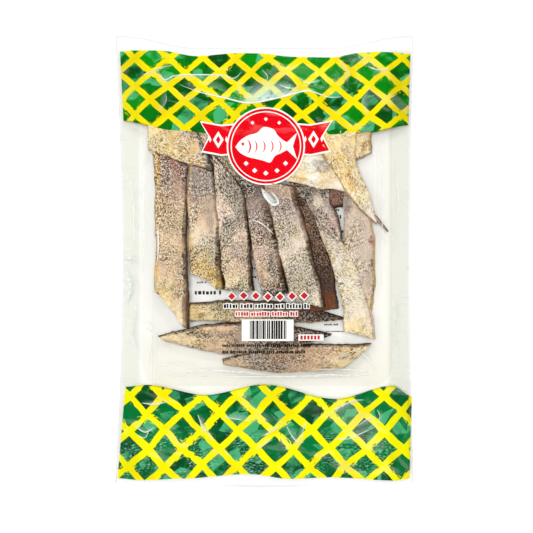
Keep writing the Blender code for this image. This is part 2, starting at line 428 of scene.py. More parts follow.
@dataclass(frozen=True)
class LatticeInk:
    """A lattice of yellow brush strokes on green ink.

    Fields give the lattice's pitch, the middle of one green diamond and half a stroke's width.
    Each diamond has its own green, and some strokes end in a dry brush's dashes. Some facets of the
    creased film over it show as painted sheen, a paler green.
    """

    name: str
    pitch_x: float
    pitch_y: float
    middle_x: float
    middle_y: float
    half_stroke: float
    green: Colour = screen(0, 138, 10)
    deep_green: Colour = screen(0, 70, 12)
    # painted sheen of the creased film over some facets
    sheen_green: Colour = screen(84, 190, 132)
    sheen_share: float = 0.70
    crinkled_from: float = -0.200
    yellow: Colour = screen(244, 234, 0)
    deep_yellow: Colour = screen(236, 216, 0)
    glint: Colour = screen(150, 208, 184)
    wander: float = 0.10
    ragged: float = 0.34
    hairs_across: float = 17.0
    hairs_along: float = 3.6
    roughness: float = 0.45

    def stroke(self, shades: Shades, across: Socket, along: Socket, rough: Socket,
               patchy: Socket) -> Socket:
        """Covers one family of strokes.

        Args:
            shades: the material that is being built.
            across: the count of strokes passed, a half at each stroke's middle.
            along: the count along the stroke.
            rough: noise that the stroke's edge is torn by.
            patchy: 1 where the brush ran dry and 0 where it was full.

        Returns:
            1 inside a stroke and 0 outside it.
        """
        hairs = shades.node("CombineXYZ", {
            0: shades.times(across, self.hairs_across), 1: shades.times(along, self.hairs_along)})
        hairs = shades.noise(hairs.outputs[0], 1.0, 2.0, 0.5)
        off = shades.math("ABSOLUTE", shades.minus(shades.math("FRACT", across), 0.5))
        half = self.half_stroke * hypot(1.0 / self.pitch_x, 1.0 / self.pitch_y)
        torn = shades.plus(shades.around(hairs, self.ragged),
                           shades.around(rough, self.ragged * 0.35))
        torn = shades.times(torn, patchy)
        inside = shades.plus(shades.minus(half, off), torn)
        cover = shades.span(inside, -0.006, 0.012)
        dashes = shades.span(hairs, 0.60, 0.64)
        near = shades.span(off, half + 0.13, half + 0.03)
        dry = shades.times(shades.times(dashes, near), patchy)
        return shades.math("MAXIMUM", cover, dry)

    def facets(self, shades: Shades, place: Socket) -> Socket:
        """Tells the creased film's flat facets apart, for the painted sheen on some of them.

        Args:
            shades: the material that is being built.
            place: the place on the piece.

        Returns:
            Each facet's own number, 0 to 1.
        """
        sway = shades.node("TexNoise", {"Vector": place, "Scale": 55.0, "Detail": 1.0})
        bent = shades.node(
            "VectorMath", {0: sway.outputs["Color"], 1: (0.010, 0.010, 0.0), 2: place},
            operation="MULTIPLY_ADD").outputs["Vector"]
        cells = shades.node("TexVoronoi", {
            "Vector": shades.stretched(bent, (95.0, 150.0, 0.0), 0.6), "Scale": 1.0})
        return shades.parts(cells.outputs["Color"])[0]

    def crinkles(self, shades: Shades, place: Socket, y: Socket) -> Socket:
        """Draws the fine glints on crinkled film, below the y in crinkled_from.

        Args:
            shades: the material that is being built.
            place: the place on the piece.
            y: the place's y.

        Returns:
            Their cover.
        """
        fine = shades.grain(place, (420.0, 1150.0, 0.0), 0.08, 2.0, 0.6)
        where = shades.noise(place, 48.0, 2.0, 0.5)
        low = shades.span(y, self.crinkled_from + 0.006, self.crinkled_from - 0.004)
        patch = shades.times(shades.span(where, 0.42, 0.58), low)
        return shades.times(shades.span(fine, 0.50, 0.68, (0.0, 0.75)), patch)

    def shade_of_diamond(self, shades: Shades, rising: Socket, falling: Socket) -> Socket:
        """Tells the diamonds apart.

        Args:
            shades: the material that is being built.
            rising: the count of strokes passed of one family.
            falling: the count of the other.

        Returns:
            Each diamond's own number, 0 to 1.
        """
        cell = shades.node("CombineXYZ", {
            0: shades.math("ROUND", rising), 1: shades.math("ROUND", falling)}).outputs[0]
        return shades.node("TexWhiteNoise", {"Vector": cell}).outputs["Value"]

    def material(self) -> bpy.types.Material:
        """Builds the printed lattice.

        Returns:
            Its material.
        """
        shades = Shades(self.name)
        place = shades.object_place()
        axes = shades.parts(place)
        drift = shades.noise(place, 38.0, 2.0, 0.5)
        sway = shades.noise(place, 31.0, 1.0, 0.5, 0.5)
        x = shades.math("MULTIPLY_ADD", axes[0], 1.0 / self.pitch_x, -self.middle_x / self.pitch_x)
        y = shades.math("MULTIPLY_ADD", axes[1], 1.0 / self.pitch_y, -self.middle_y / self.pitch_y)
        x = shades.plus(x, shades.around(drift, self.wander * 3.0))
        y = shades.plus(y, shades.around(sway, self.wander * 3.0))
        rising, falling = shades.minus(x, y), shades.plus(x, y)
        rough = shades.noise(place, 520.0, 2.0, 0.6)
        patchy = shades.span(shades.noise(place, 62.0, 1.0, 0.5), 0.53, 0.62, (0.10, 1.0))
        cover = shades.math(
            "MAXIMUM",
            self.stroke(shades, rising, falling, rough, patchy),
            self.stroke(shades, falling, rising, rough, patchy))
        own = self.shade_of_diamond(shades, rising, falling)
        cloud = shades.grain(place, (60.0, 90.0, 60.0), 0.6, 3.0, 0.6, 1.2)
        green = shades.mix(
            shades.span(shades.math("MULTIPLY_ADD", own, 0.6, cloud), 0.45, 1.05),
            self.deep_green, self.green)
        # painted sheen: some facets of the creased film are paler green
        painted_sheen = shades.plus(self.facets(shades, place), shades.around(cloud, 0.8))
        green = shades.mix(shades.span(painted_sheen, 0.62, 0.96, (0.0, self.sheen_share)), green,
                           self.sheen_green)
        green = shades.mix(self.crinkles(shades, place, axes[1]), green, self.glint)
        yellow = shades.mix(shades.span(drift, 0.4, 0.7), self.yellow, self.deep_yellow)
        return shades.painted(shades.mix(cover, green, yellow), self.roughness, INK_SPECULAR,
                              shades.bump(cover, INK_RELIEF))


@dataclass(frozen=True)
class TrayPlastic:
    """Thin clear tray, a little milky, greyer at its foot and streaked along its walls."""

    name: str = "clear_tray"
    tint: Colour = (0.996, 0.994, 0.984, 1.0)
    wall_tint: Colour = (0.966, 0.964, 0.944, 1.0)
    foot_tint: Colour = (0.956, 0.943, 0.908, 1.0)
    streak_tint: Colour = (0.900, 0.900, 0.880, 1.0)
    milk: Colour = (0.96, 0.95, 0.92, 1.0)
    milkiness: float = 0.004
    least_gloss: float = 0.002
    edge_gloss: float = 0.30
    roughness: float = 0.2
    middle_x: float = 0.0017
    wall_from: float = 0.068
    foot_from: float = -0.045

    def material(self) -> bpy.types.Material:
        """Builds the tray's material.

        Returns:
            The material.
        """
        shades = Shades(self.name)
        place = shades.object_place()
        axes = shades.parts(place)
        off = shades.math("ABSOLUTE", shades.minus(axes[0], self.middle_x))
        wall = shades.span(off, self.wall_from - 0.006, self.wall_from + 0.002)
        blur = shades.around(shades.noise(place, 26.0, 2.0, 0.5), 0.030)
        foot = shades.span(shades.plus(axes[1], blur), self.foot_from, self.foot_from - 0.022)
        streaks = shades.grain(place, (620.0, 5.0, 0.0), 0.0, 2.0, 0.6)
        streaked = shades.times(shades.span(streaks, 0.50, 0.72, (0.0, 0.75)), wall)
        tint = shades.mix(wall, self.tint, self.wall_tint)
        tint = shades.mix(foot, tint, self.foot_tint)
        tint = shades.mix(streaked, tint, self.streak_tint)
        normal = shades.bump(shades.noise(place, 120.0, 2.0, 0.5), 0.0002)
        body = shades.layered(self.milkiness, shades.clear(tint), shades.chalky(self.milk))
        edge_on = shades.edge_gloss(self.least_gloss, self.edge_gloss)
        return shades.glossed(body, edge_on, self.roughness, normal)


class Tone(Enum):
    """The tones that dried croaker runs through, from pale to dark."""

    CHALK = screen(250, 245, 230)
    IVORY = screen(250, 230, 180)
    BONE = screen(240, 225, 200)
    BLUSH = screen(240, 215, 190)
    STRAW = screen(240, 210, 145)
    HONEY = screen(230, 185, 75)
    SAND = screen(220, 190, 155)
    PUTTY = screen(210, 190, 170)
    ROSE = screen(205, 175, 160)
    TAUPE = screen(180, 150, 125)
    MAUVE = screen(165, 142, 138)
    MOLE = screen(142, 125, 115)
    TAN = screen(205, 175, 120)
    GOLD = screen(215, 170, 90)
    OCHRE = screen(180, 135, 80)
    PLUM = screen(140, 85, 75)
    ASH = screen(105, 92, 85)
    UMBER = screen(115, 85, 65)
    RUST = screen(105, 55, 25)
    FLESH = screen(75, 42, 30)
    SOOT = screen(60, 35, 25)


@dataclass(frozen=True)
class Patch:
    """A stain, a bare place or a painted shade on a strip, in millimetres from its middle to its
    head and left.
    """

    along: float
    across: float
    long: float
    wide: float
    tone: Tone
    share: float = 0.8


class SkinShades(Shades):
    """A skin's node tree, with the places and noises that its marks share.

    The piece carries two attributes: skin, its place across and along the strip in metres and 1
    on the cut sides; and edges, its distance in metres from the left edge, the right edge and
    the nearer end.
    """

    CLOUDS = 80.0
    MIDDLINGS = 340.0
    RAGGED_BY = 0.0030

    def __init__(self, name: str, length: float) -> None:
        """Starts the material and reads the piece's attributes.

        Args:
            name: the material's name.
            length: the strip's length in metres.
        """
        super().__init__(name)
        self.length = length
        self.skin = self.attribute("skin")
        _, self.along, self.side = self.parts(self.skin)
        self.reach = self.parts(self.attribute("edges"))
        self.place = self.object_place()
        self.cloud = self.noise(self.place, self.CLOUDS, 3.0, 0.6)
        self.middling = self.noise(self.place, self.MIDDLINGS, 2.0, 0.6, 0.6)
        self.jag = self.around(self.middling, self.RAGGED_BY)


@dataclass(frozen=True)
class FishSkin:
    """Dried, salted fish skin, toned from a strip's foot at 0 to its head at 1."""

    tones: tuple[tuple[float, Tone], ...]
    left: Tone = Tone.GOLD
    left_reach: float = 1.3
    right: Tone = Tone.UMBER
    right_reach: float = 1.0
    ends: Tone = Tone.UMBER
    ends_reach: float = 1.0
    foot: Tone = Tone.UMBER
    foot_reach: float = 0.0
    flesh: Tone = Tone.FLESH
    mottle: Place = (1.0, 1.0)
    lift: float = 0.09
    dark_speck: float = 0.22
    cream: float = 0.78
    # how strong the painted shade along the skin's folds is
    fold_shade: float = 0.5
    hue: float = 0.7
    richness: float = 1.13
    fibre: float = 3.8
    speck: float = 4.4
    stroke: float = 520.0
    fibre_turn: float = 30.0
    patches: tuple[Patch, ...] = ()
    shade: Colour = screen(180, 174, 170)
    salt: Colour = screen(255, 250, 238)
    lean: Colour = screen(206, 160, 120)
    yellowing: Colour = (1.0, 0.88, 0.62, 1.0)
    greying: Colour = (0.90, 0.88, 1.0, 1.0)
    relief: float = 0.00030
    leanness: float = 0.16
    gloss: float = 0.12
    roughness: Place = (0.62, 0.46)

    RIM_SHARES = (0.90, 0.75, 0.70)
    RIM_CORE = 0.15
    FOOT_CORE = 0.45
    FOOT_SHARE = 0.92
    MOTTLE_OVER = 0.3
    CALM_TO_STRONG = (0.30, 1.42)
    DARK_OVER = -0.52
    PALE_OVER = 0.55

    def toned(self, shades: SkinShades) -> Socket:
        """Runs the tones from foot to head.

        Args:
            shades: the skin's node tree.

        Returns:
            The colour.
        """
        share = shades.math("MULTIPLY_ADD", shades.along, 1.0 / shades.length, 0.5)
        drift = shades.around(shades.cloud, 0.35)
        ramp = shades.node("ValToRGB", {0: shades.plus(share, drift)})
        stops = ramp.color_ramp.elements
        first, *between, last = self.tones
        for stop, (position, named) in zip(stops, (first, last)):
            stop.position, stop.color = position, named.value
        for position, named in between:
            stops.new(position).color = named.value
        return ramp.outputs[0]

    def stained(self, shades: SkinShades, tone: Socket) -> Socket:
        """Lays the patches on the tone.

        Args:
            shades: the skin's node tree.
            tone: the colour so far.

        Returns:
            The colour.
        """
        ragged = shades.around(shades.middling, 1.2)
        for patch in self.patches:
            centred = shades.node("Mapping", {
                "Vector": shades.skin,
                "Location": (-patch.across / patch.wide, -patch.along / patch.long, 0.0),
                "Scale": (1.0 / (patch.wide * MM), 1.0 / (patch.long * MM), 0.0),
            }).outputs[0]
            away = shades.node("VectorMath", {0: centred}, operation="LENGTH").outputs["Value"]
            share = shades.span(shades.plus(away, ragged), 1.15, 0.45, (0.0, patch.share))
            tone = shades.mix(share, tone, patch.tone.value)
        return tone

    def rimmed(self, shades: SkinShades, tone: Socket) -> Socket:
        """Colours the strip's left, right and end rims, worn through in places.

        Args:
            shades: the skin's node tree.
            tone: the colour so far.

        Returns:
            The colour.
        """
        worn = shades.span(shades.noise(shades.place, 95.0, 1.0, 0.5), 0.38, 0.56, (0.45, 1.0))
        for distance, rim, wide, share in zip(
                shades.reach, (self.left, self.right, self.ends),
                (self.left_reach, self.right_reach, self.ends_reach), self.RIM_SHARES):
            far = wide * MM
            near = shades.span(
                shades.plus(distance, shades.jag), far, self.RIM_CORE * far, (0.0, share))
            tone = shades.mix(shades.times(near, worn), tone, rim.value)
        return tone

    def weathered(self, shades: SkinShades, tone: Socket) -> Socket:
        """Darkens the tone in broad clouds and in bands along the strip.

        Args:
            shades: the skin's node tree.
            tone: the colour so far.

        Returns:
            The colour.
        """
        bands = shades.grain(shades.skin, (200.0, 36.0, 1.0), 0.0, 2.0, 0.5, 0.6)
        broad = shades.plus(shades.around(shades.cloud, 1.5), shades.around(bands, 1.3))
        broad = shades.plus(broad, shades.around(shades.middling, 0.8))
        shade = shades.mix(shades.span(broad, -0.72, 0.16, smooth=False), self.shade, WHITE)
        return shades.mix(1.0, tone, shade, "MULTIPLY")

    def footed(self, shades: SkinShades, tone: Socket) -> Socket:
        """Colours the strip's foot as far as it reaches.

        Args:
            shades: the skin's node tree.
            tone: the colour so far.

        Returns:
            The colour.
        """
        if self.foot_reach <= 0.0:
            return tone
        reach = self.foot_reach * MM
        near = shades.span(shades.plus(shades.reach[2], shades.jag), reach,
                           self.FOOT_CORE * reach, (0.0, self.FOOT_SHARE))
        near = shades.times(near, shades.math("LESS_THAN", shades.along, 0.0))
        return shades.mix(near, tone, self.foot.value)

    def hued(self, shades: SkinShades, tone: Socket) -> Socket:
        """Shifts the tone to yellow in some clouds and to mauve in others.

        Args:
            shades: the skin's node tree.
            tone: the colour so far.

        Returns:
            The colour.
        """
        hue = shades.noise(shades.place, 58.0, 2.0, 0.55, 0.5)
        for far, colour in ((0.68, self.yellowing), (0.34, self.greying)):
            share = shades.span(hue, 0.50, far, (0.0, self.hue))
            tone = shades.mix(share, tone, colour, "MULTIPLY")
        return tone

    def fibres(self, shades: SkinShades) -> Socket:
        """Draws fibres that run one way in some zones and across it in the others.

        Args:
            shades: the skin's node tree.

        Returns:
            Their noise.
        """
        turn = radians(self.fibre_turn)
        rising, falling = (
            shades.grain(shades.skin, (wide, long * self.stroke, 1.0), angle, 2.0, 0.6, 0.5)
            for wide, long, angle in ((1250.0, 1.0, turn), (1150.0, 1.15, turn - 1.1)))
        which = shades.span(shades.noise(shades.place, 75.0, 1.0, 0.5), 0.42, 0.58)
        return shades.math("MULTIPLY_ADD", shades.minus(falling, rising), which, rising)

    def stirred(self, shades: SkinShades) -> Socket:
        """Draws the skin's fine marks, with painted shade along its folds.

        Args:
            shades: the skin's node tree.

        Returns:
            Their strength: below 0 where they are dark and above it where they are pale.
        """
        skin, over = shades.skin, self.MOTTLE_OVER * shades.length
        speck = shades.noise(skin, 1000.0, 2.0, 0.65, 0.3)
        folds = shades.grain(
            skin, (340.0, 150.0, 1.0), radians(self.fibre_turn), 1.0, 0.5, 1.0)
        stir = shades.plus(shades.around(speck, self.speck),
                           shades.around(self.fibres(shades), self.fibre))
        stir = shades.plus(stir, shades.around(shades.middling, 0.8))
        # painted shade: the folds' lines are darkened in the colour, besides being dented in the
        # bump
        off_fold = shades.math("ABSOLUTE", shades.minus(folds, 0.5))
        creased = shades.times(shades.span(off_fold, 0.035, 0.0, (0.0, self.fold_shade)),
                               shades.span(shades.cloud, 0.42, 0.60))
        zones = shades.noise(shades.place, 55.0, 1.0, 0.5, 0.5)
        amount = shades.times(shades.span(shades.along, -over, over, self.mottle),
                              shades.span(zones, 0.38, 0.62, self.CALM_TO_STRONG))
        return shades.math("MULTIPLY_ADD", shades.minus(stir, creased), amount, self.lift)

    def speckled(self, shades: SkinShades, tone: Socket, stir: Socket) -> Socket:
        """Darkens and pales the tone by its marks.

        Args:
            shades: the skin's node tree.
            tone: the colour so far.
            stir: the marks' strength.

        Returns:
            The colour.
        """
        low = self.dark_speck
        darker = shades.mix(1.0, tone, (low, low * 0.92, low * 0.88, 1.0), "MULTIPLY")
        lighter = shades.mix(self.cream, tone, self.salt)
        dark = shades.mix(shades.span(stir, 0.0, self.DARK_OVER, smooth=False), tone, darker)
        return shades.mix(shades.span(stir, 0.0, self.PALE_OVER, smooth=False), dark, lighter)

    def material(self, name: str, length: float) -> bpy.types.Material:
        """Builds the skin for one strip.

        Args:
            name: the material's name.
            length: the strip's length in metres.

        Returns:
            The material.
        """
        shades = SkinShades(name, length)
        tone = self.toned(shades)
        for change in (self.stained, self.rimmed, self.weathered, self.footed, self.hued):
            tone = change(shades, tone)
        stir = self.stirred(shades)
        tone = self.speckled(shades, tone, stir)
        flesh = shades.mix(self.leanness, self.flesh.value, self.lean)
        cut = shades.mix(shades.span(shades.middling, 0.42, 0.60), self.flesh.value, flesh)
        tone = shades.mix(shades.span(shades.side, 0.2, 0.7), tone, cut)
        tone = shades.node("HueSaturation", {"Saturation": self.richness, "Color": tone}).outputs[0]
        return shades.painted(tone, shades.span(stir, -0.3, 0.3, self.roughness), self.gloss,
                              shades.bump(stir, self.relief))


@dataclass(frozen=True)
class PaleSkin(FishSkin):
    """The paler, smoother skin of the belly, with softer marks."""

    speck: float = 2.4
    stroke: float = 380.0


@dataclass(frozen=True)
class PaleGround:
    """The pale floor of the studio."""

    colour: Colour = (0.96, 0.96, 0.96, 1.0)
    roughness: float = 0.9

    def material(self) -> bpy.types.Material:
        """Builds the floor's material and returns it."""
        shades = Shades("pale_ground")
        return shades.painted(self.colour, self.roughness, 0.0)


@dataclass(frozen=True)
class BagPlan:
    """The laid-flat bag's outline, as in the solid."""

    half_width: float = 0.1012
    half_length: float = 0.1530
    left_waist: float = 0.0048
    right_waist: float = 0.0028
    top_dip: float = 0.0080
    top_dip_half_width: float = 0.046
    top_dip_blend: float = 0.050
    foot_wave: float = 0.0014

    def waist(self, across: float) -> float:
        """Gives how far the edge on one side is drawn in at the middle."""
        return self.left_waist if across < 0.0 else self.right_waist

    def dip(self, x: float) -> float:
        """Gives how far the top edge dips at x."""
        reach = (abs(x) - self.top_dip_half_width) / self.top_dip_blend
        return self.top_dip * (1.0 - smooth_step(reach))

    def place(self, across: float, along: float) -> Place:
        """Gives a place in plan.

        Args:
            across: -1 at the left edge to 1 at the right one.
            along: -1 at the foot to 1 at the top.

        Returns:
            Its x and y.
        """
        x = self.half_width * across
        x -= self.waist(across) * across * cos(along * pi / 2.0)
        y = self.half_length * along - self.dip(x) * max(0.0, along) ** 4
        y += self.foot_wave * (1.0 - cos(pi * across)) * max(0.0, -along) ** 4
        return x, y


@dataclass(frozen=True)
class Crease:
    """A ridge in the film along a route in plan, in millimetres.

    Its sharp top carries a painted glint on partly whitened film, as strong as its cover. A flank
    is painted sheen on one side of it, the left as the route runs or the right where its width is
    negative, that fades away from the ridge.
    """

    route: tuple[Place, ...]
    width: float = 0.9
    height: float = 0.7
    spread: float = 2.2
    cover: float = 0.75
    flank: float = 0.0
    flank_cover: float = 0.4


# Each has its route, then width, height, spread, cover, flank and flank_cover as in Crease.
# Their tops and flanks carry painted glints and sheen, besides the film's real ridges.
CREASES = (
    Crease(((-59, 120), (-44, 114), (-27, 110), (-11, 106.5), (5, 109), (19, 112.5), (30, 114.6),
            (43, 110.5), (54, 111)), 1.1, 1.2, 2.6, 0.95, 3.0, 0.28),
    Crease(((-17, 107.2), (-4, 107.9), (8, 110.0), (24, 114.0)), 0.0, 0.0, 2.6, 0.0, 17.0, 0.86),
    Crease(((-46, 121), (-34, 117), (-22, 112)), 0.0, 0.0, 2.6, 0.0, 6.0, 0.21),
    Crease(((-76, 133), (-71, 127), (-67, 122.5), (-60, 125.5), (-44, 126), (-28, 125.5),
            (-22, 123.4), (-18, 125), (-15, 129.5)), 0.8, 0.8, 1.8, 0.75, -3.5, 0.25),
    Crease(((-84, 126), (-77, 128), (-69, 131.5), (-61, 133)), 0.7, 0.5, 1.8, 0.4, -4.0, 0.22),
    Crease(((69, 132.3), (77, 129.5), (85, 131)), 0.9, 0.7, 2.2, 0.8, -3.0, 0.28),
    Crease(((22, 125.5), (27, 121), (32, 120.4), (38, 122.7)), 0.7, 0.7, 2.2, 0.6, 4.0, 0.19),
    Crease(((9, 119.3), (16, 116.6), (23, 116.8)), 0.8, 0.6, 2.0, 0.6, 5.0, 0.28),
    Crease(((-2, 130), (2, 125), (1, 121)), 0.5, 0.5, 1.6, 0.6, -3.0, 0.19),
    Crease(((50, 136), (57, 128), (55, 120)), 0.4, 0.5, 1.6, 0.3, -6.0, 0.22),
    Crease(((72, 118), (66, 108), (69, 98)), 0.4, 0.5, 1.8, 0.3, 7.0, 0.25),
    Crease(((-71, 100), (-66, 108), (-67, 116)), 0.4, 0.5, 1.8, 0.3, 5.0, 0.22),
    Crease(((-45.2, -103), (-42.8, -110), (-41.5, -117)), 0.9, 0.7, 2.0, 0.6, 4.5, 0.38),
    Crease(((-42, -110), (-38.5, -116), (-34.5, -122)), 0.7, 0.6, 2.0, 0.5, 3.0, 0.25),
    Crease(((-2.4, -118.7), (5.1, -114.6), (12, -110.5)), 1.0, 0.9, 2.2, 0.6, 4.0, 0.25),
    Crease(((14.6, -110.5), (17.3, -116), (21.4, -121.4), (27, -122.7)),
           0.8, 0.8, 2.0, 0.7, 4.5, 0.31),
    Crease(((29, -108), (26, -115), (25, -122)), 0.5, 0.5, 1.6, 0.5, -4.0, 0.28),
    Crease(((40.5, -104.4), (50.3, -98.3), (59.5, -93.8), (67.7, -93.2)),
           0.9, 0.9, 2.4, 0.6, -6.0, 0.30),
    Crease(((46, -120), (56.8, -120), (66.3, -116), (74.5, -112.5)),
           0.7, 0.7, 2.0, 0.55, 5.0, 0.25),
    Crease(((62, -112), (69, -107), (75, -105)), 0.6, 0.5, 1.8, 0.5, -4.0, 0.31),
    Crease(((75.8, -99.6), (78, -105), (75.8, -110.5)), 0.6, 0.5, 2.0, 0.5, 4.0, 0.22),
    Crease(((-28, -105), (-19.4, -106.5), (-8, -108)), 0.7, 0.7, 2.0, 0.5, 5.0, 0.37),
    Crease(((-88, -111), (-81, -115.5), (-74, -112)), 0.8, 0.7, 2.0, 0.7, 4.5, 0.31),
    Crease(((-87, -117), (-81, -119.5), (-78, -114)), 0.6, 0.6, 1.8, 0.7, 2.5, 0.28),
    Crease(((-83.3, -95.5), (-73.8, -96.2), (-64.3, -94.2)), 1.0, 0.8, 2.2, 0.7, 3.0, 0.22),
    Crease(((-6, -128), (0, -124), (6, -120)), 0.5, 0.5, 1.8, 0.4, 5.0, 0.19),
    Crease(((-71.7, 25.5), (-71.3, 13), (-71.7, -0.4)), 0.9, 0.4, 1.2, 0.98),
    Crease(((-9.9, 28.2), (-1.7, 25.2), (6.5, 18)), 0.9, 0.4, 1.2, 0.9),
    Crease(((-2.2, 49.6), (-0.6, 45.4), (2.6, 40.6), (6.2, 37.9), (9.2, 39.4), (7.6, 43.2),
            (3.4, 47.6)), 1.6, 0.4, 1.2, 0.98, 3.8, 0.8),
    Crease(((-1.4, 48.6), (0.8, 44.6), (4.0, 41.2), (7.6, 40.2)), 4.2, 0.0, 1.2, 0.42),
    Crease(((-54, -75), (-37, -73.1), (-17, -74.5), (4, -76.6)), 0.9, 0.4, 1.4, 0.7),
    Crease(((20, -78), (42, -76), (64, -77.5)), 0.8, 0.4, 1.4, 0.6),
    Crease(((-92, 62), (-88, 30), (-90, -5)), 0.5, 0.5, 2.4, 0.35),
    Crease(((-86, -28), (-90, -48), (-84, -66)), 0.6, 0.6, 2.4, 0.4, 4.0, 0.19),
    Crease(((88, 70), (90, 40), (86, 6)), 0.5, 0.5, 2.4, 0.35),
    Crease(((92, -20), (87, -44), (91, -66)), 0.5, 0.5, 2.4, 0.35, 4.0, 0.15),
    Crease(((-95, 1.6), (-91, 2.4), (-87, 1.5)), 1.5, 0.3, 1.2, 0.7),
    Crease(((-93.5, -6), (-90.5, -16), (-93, -28)), 1.1, 0.4, 1.6, 0.55, 5.0, 0.25),
    Crease(((-76, -19.5), (-70, -24), (-65, -31.5)), 0.6, 0.3, 1.2, 0.6),
    Crease(((-78, -37), (-75.5, -52), (-77.5, -69)), 0.7, 0.3, 1.4, 0.5),
    Crease(((78.5, 96), (79.3, 40), (78.6, -20)), 0.6, 0.2, 1.2, 0.5),
    Crease(((-81.5, 92), (-81.0, 40), (-81.8, -10)), 0.5, 0.2, 1.2, 0.45),
    Crease(((40, -71), (52, -63), (66, -58)), 0.6, 0.3, 1.4, 0.5),
    Crease(((-74, -76.5), (-20, -77.4), (40, -77.2), (76, -76.2)), 0.7, 0.3, 1.2, 0.6),
    Crease(((-73, -71), (-60, -68.5), (-46, -70.5)), 0.6, 0.3, 1.4, 0.5),
    Crease(((-80, -44), (-72, -50), (-66, -58)), 0.6, 0.3, 1.4, 0.45),
    Crease(((28, -73.6), (50, -72.4), (70, -74)), 0.7, 0.3, 1.4, 0.55),
    Crease(((60, -58), (69, -65), (75, -74)), 0.6, 0.3, 1.4, 0.45),
)


class FilmForm:
    """The film's height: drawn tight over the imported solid, with creases."""

    STEP = 0.0008
    CLEARANCE = 0.00045
    EDGE = 0.0012
    TIGHTENINGS = 420
    EDGE_FALL = 0.0035
    THIN = 0.00030
    SEAL = 0.010
    SEAL_PUFF = 0.25
    BAND_FOOT = 0.082
    BAND_BLEND = 0.012
    MARGIN = 0.0825
    MARGIN_BLEND = 0.004
    CLEAR_END = 0.1425
    END_BLEND = 0.003
    RIM = 0.0014
    LIMP_FROM = 0.118
    LIMP_OVER = 0.035
    LIMP_WAVE = 0.0115
    LIMP_PHASE = 0.6
    TOP_PHASE = 2.0
    LIMP_LEAST = 0.0004
    LIMP_MOST = 0.0009
    BACK = 0.00005
    ABOVE = 0.1

    def __init__(self, solid: bpy.types.Object, plan: BagPlan) -> None:
        """Reads the solid's top and draws the film over it.

        Args:
            solid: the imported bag.
            plan: the bag's outline.
        """
        self.plan = plan
        self.columns = int(2.0 * plan.half_width / self.STEP) + 3
        self.rows = int(2.0 * plan.half_length / self.STEP) + 3
        mesh = solid.data
        tree = BVHTree.FromPolygons(
            [point.co for point in mesh.vertices], [face.vertices for face in mesh.polygons])
        down = Vector((0.0, 0.0, -1.0))
        solid_top = np.full((self.rows, self.columns), self.EDGE)
        for row in range(self.rows):
            for column in range(self.columns):
                x, y = self.grid_place(row, column)
                hit = tree.ray_cast(Vector((x, y, self.ABOVE)), down)[0]
                if hit is not None:
                    solid_top[row, column] = hit.z
        floor = solid_top + self.CLEARANCE
        film = floor.copy()
        for _ in range(self.TIGHTENINGS):
            around = film.copy()
            around[1:-1, 1:-1] = (
                film[:-2, 1:-1] + film[2:, 1:-1] + film[1:-1, :-2] + film[1:-1, 2:]) / 4.0
            film = np.maximum(floor, around)
        self.heights = film + self.wrinkles()

    def grid_place(self, row: Union[int, np.ndarray],
                   column: Union[int, np.ndarray]) -> tuple:
        """Places a point of the height grid in plan, or whole arrays of them.

        Args:
            row: its row.
            column: its column.

        Returns:
            Its x and y.
        """
        x = (column - (self.columns - 1) / 2.0) * self.STEP
        y = (row - (self.rows - 1) / 2.0) * self.STEP
        return x, y

    def wrinkles(self) -> np.ndarray:
        """Adds up the creases.

        Returns:
            Their height at each point of the grid.
        """
        x, y = self.grid_place(np.arange(self.rows), np.arange(self.columns))
        grid_x, grid_y = np.meshgrid(x, y)
        added = np.zeros_like(grid_x)
        for crease in CREASES:
            away = np.full_like(grid_x, 1.0)
            share = np.zeros_like(grid_x)
            line = eased(crease.route, 3)
            legs = list(zip(line, line[1:]))
            for number, (start, end) in enumerate(legs):
                ax, ay = start[0] * MM, start[1] * MM
                bx, by = end[0] * MM - ax, end[1] * MM - ay
                along = np.clip(
                    ((grid_x - ax) * bx + (grid_y - ay) * by) / (bx * bx + by * by), 0.0, 1.0)
                far = np.hypot(grid_x - ax - along * bx, grid_y - ay - along * by)
                closer = far < away
                away = np.where(closer, far, away)
                share = np.where(closer, (number + along) / len(legs), share)
            fade = np.sin(np.pi * np.clip(share, 0.0, 1.0)) ** 0.5
            added += crease.height * MM * fade * np.exp(-((away / (crease.spread * MM)) ** 2))
        return added

    def height(self, x: float, y: float) -> float:
        """Reads the film's height between the points of the grid.

        Args:
            x: the place's x in metres.
            y: the place's y in metres.

        Returns:
            The height.
        """
        column = min(max(x / self.STEP + (self.columns - 1) / 2.0, 0.0), self.columns - 1.001)
        row = min(max(y / self.STEP + (self.rows - 1) / 2.0, 0.0), self.rows - 1.001)
        left, low = int(column), int(row)
        a, b = column - left, row - low
        heights = self.heights
        lower = heights[low, left] * (1.0 - a) + heights[low, left + 1] * a
        upper = heights[low + 1, left] * (1.0 - a) + heights[low + 1, left + 1] * a
        return float(lower * (1.0 - b) + upper * b)

    def from_edge(self, x: float, y: float) -> float:
        """Gives about how far in a place lies from the nearest edge of the bag.

        Args:
            x: the place's x in metres.
            y: the place's y in metres.

        Returns:
            The distance.
        """
        plan = self.plan
        drawn_in = plan.waist(x) * cos(min(1.0, abs(y) / plan.half_length) * pi / 2.0)
        dip = plan.dip(x) if y > 0.0 else 0.0
        return min(plan.half_width - abs(x) - drawn_in, plan.half_length - dip - abs(y))

    def lift(self, x: float, y: float) -> float:
        """Gives how far the bag's limp ends lift off the floor together.

        Args:
            x: the place's x in metres.
            y: the place's y in metres.

        Returns:
            The lift.
        """
        end = smooth_step((abs(y) - self.LIMP_FROM) / self.LIMP_OVER)
        phase = self.LIMP_PHASE + (self.TOP_PHASE if y > 0.0 else 0.0)
        wave = 0.5 + 0.5 * sin(x / self.LIMP_WAVE + phase)
        return end * (self.LIMP_LEAST + self.LIMP_MOST * wave)

